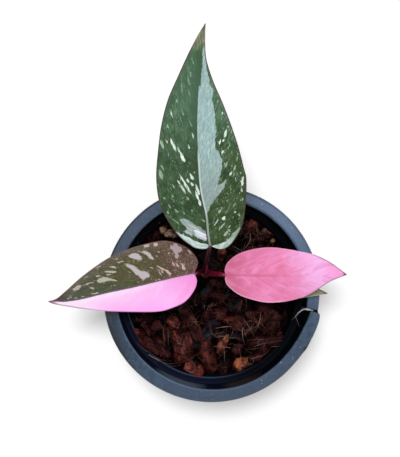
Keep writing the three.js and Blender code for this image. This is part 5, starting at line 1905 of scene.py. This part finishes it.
def add_lamp(name, power):
    """A round soft lamp that points at the plant."""
    lamp = LAMPS[name]
    way = Vector((0, 0, lamp["away"]))
    way.rotate(Euler((0, math.radians(lamp["tilt"]), math.radians(lamp["bearing"]))))
    bpy.ops.object.light_add(type="AREA", location=Vector(LAMPS_AIM) + way,
                             rotation=way.to_track_quat("Z", "Y").to_euler())
    made = bpy.context.object
    made.name = name
    made.data.shape = "DISK"
    made.data.size = lamp["size"]
    made.data.energy = power
    made.data.color = lamp["tint"]
    made.visible_glossy = lamp["glossy"]
    made.visible_diffuse = not lamp["glossy"]


def make_stage():
    """A plain floor, an even sky, two lamps and the camera."""
    look = settings("stage")
    clear_selection()
    bpy.ops.mesh.primitive_plane_add(size=6)
    floor = bpy.context.object
    floor.name = "floor"
    coat = Finish("floor_paint", Specular_IOR_Level=0.1)
    coat.colour = coat.mix(coat.noise(coat.place, 3.0), look.floor, "e7e7e7")
    floor.data.materials.append(coat.close(0.9))
    world = bpy.data.worlds.new("studio")
    world.use_nodes = True
    sky = world.node_tree.nodes["Background"]
    sky.inputs["Color"].default_value = (1, 1, 1, 1)
    sky.inputs["Strength"].default_value = look.sky
    bpy.context.scene.world = world
    add_lamp("soft_lamp", look.lamp)
    add_lamp("window_light", look.window)
    bpy.ops.object.camera_add(location=CAMERA["place"], rotation=(0, 0, 0))
    camera = bpy.context.object
    camera.name = "camera"
    camera.data.lens = CAMERA["lens"]
    camera.data.sensor_width = CAMERA["sensor"]
    camera.data.clip_start = CAMERA["near"]
    bpy.context.scene.camera = camera
    bpy.context.scene.view_settings.view_transform = "Standard"


# ---- Operators and panel ---------------------------------------------------------------

class PHILO_OT_stage(Operator):
    """Adds the floor, the soft light and the camera"""
    bl_idname = "philodendron.stage"
    bl_label = "Stage"

    def execute(self, context):
        make_stage()
        return {"FINISHED"}


class PHILO_OT_effects(Operator):
    """Builds the shared shader effects"""
    bl_idname = "philodendron.effects"
    bl_label = "Shared Effects"

    def execute(self, context):
        for build in (make_flecks, make_ragged_edge, make_side_veins, make_skin,
                      make_wood_grain, make_plastic_wear):
            build()
        return {"FINISHED"}


class PHILO_OT_pot(Operator):
    """Models the nursery pot with its drain holes and split rim"""
    bl_idname = "philodendron.pot"
    bl_label = "Nursery Pot"

    def execute(self, context):
        make_pot()
        return {"FINISHED"}


class PHILO_OT_bed(Operator):
    """Fills the pot with bark mix, chips, crumbs, threads and a stray root"""
    bl_idname = "philodendron.bed"
    bl_label = "Bark Bed"

    def execute(self, context):
        make_bed()
        return {"FINISHED"}


class PHILO_OT_stem(Operator):
    """Models the ringed stem and the rolled new leaf"""
    bl_idname = "philodendron.stem"
    bl_label = "Stem and New Leaf"

    def execute(self, context):
        make_stem()
        make_new_leaf()
        return {"FINISHED"}


class PHILO_OT_leaves(Operator):
    """Models the four leaves and their stalks"""
    bl_idname = "philodendron.leaves"
    bl_label = "Leaves and Stalks"

    def execute(self, context):
        make_leaf("top", leaf_green)
        make_leaf("left", leaf_half_pink)
        make_leaf("right", leaf_pink)
        make_leaf("small", leaf_small_green)
        return {"FINISHED"}


OPERATORS = (PHILO_OT_effects, PHILO_OT_stage, PHILO_OT_pot, PHILO_OT_bed, PHILO_OT_stem,
             PHILO_OT_leaves)


class PHILO_PT_panel(Panel):
    bl_label = "Potted Philodendron"
    bl_space_type = "VIEW_3D"
    bl_region_type = "UI"
    bl_category = "Philodendron"

    def draw(self, context):
        for operator in OPERATORS:
            self.layout.operator(operator.bl_idname)
        for kind in SETTINGS:
            box = self.layout.box()
            box.label(text=kind.title())
            group = settings(kind)
            for name in group.__annotations__:
                box.prop(group, name)


SETTINGS = {"pot": PotSettings, "bed": BedSettings, "stalk": StalkSettings,
            "leaf": LeafSettings, "stage": StageSettings}
CLASSES = (*SETTINGS.values(), *OPERATORS, PHILO_PT_panel)


def register():
    for item in CLASSES:
        bpy.utils.register_class(item)
    for kind, group in SETTINGS.items():
        setattr(bpy.types.Scene, "philodendron_" + kind, PointerProperty(type=group))


def unregister():
    for kind in SETTINGS:
        delattr(bpy.types.Scene, "philodendron_" + kind)
    for item in reversed(CLASSES):
        bpy.utils.unregister_class(item)


def main():
    """Models every piece in turn."""
    register()
    for operator in OPERATORS:
        getattr(bpy.ops.philodendron, operator.bl_idname.split(".")[1])()


if __name__ == "__main__":
    main()
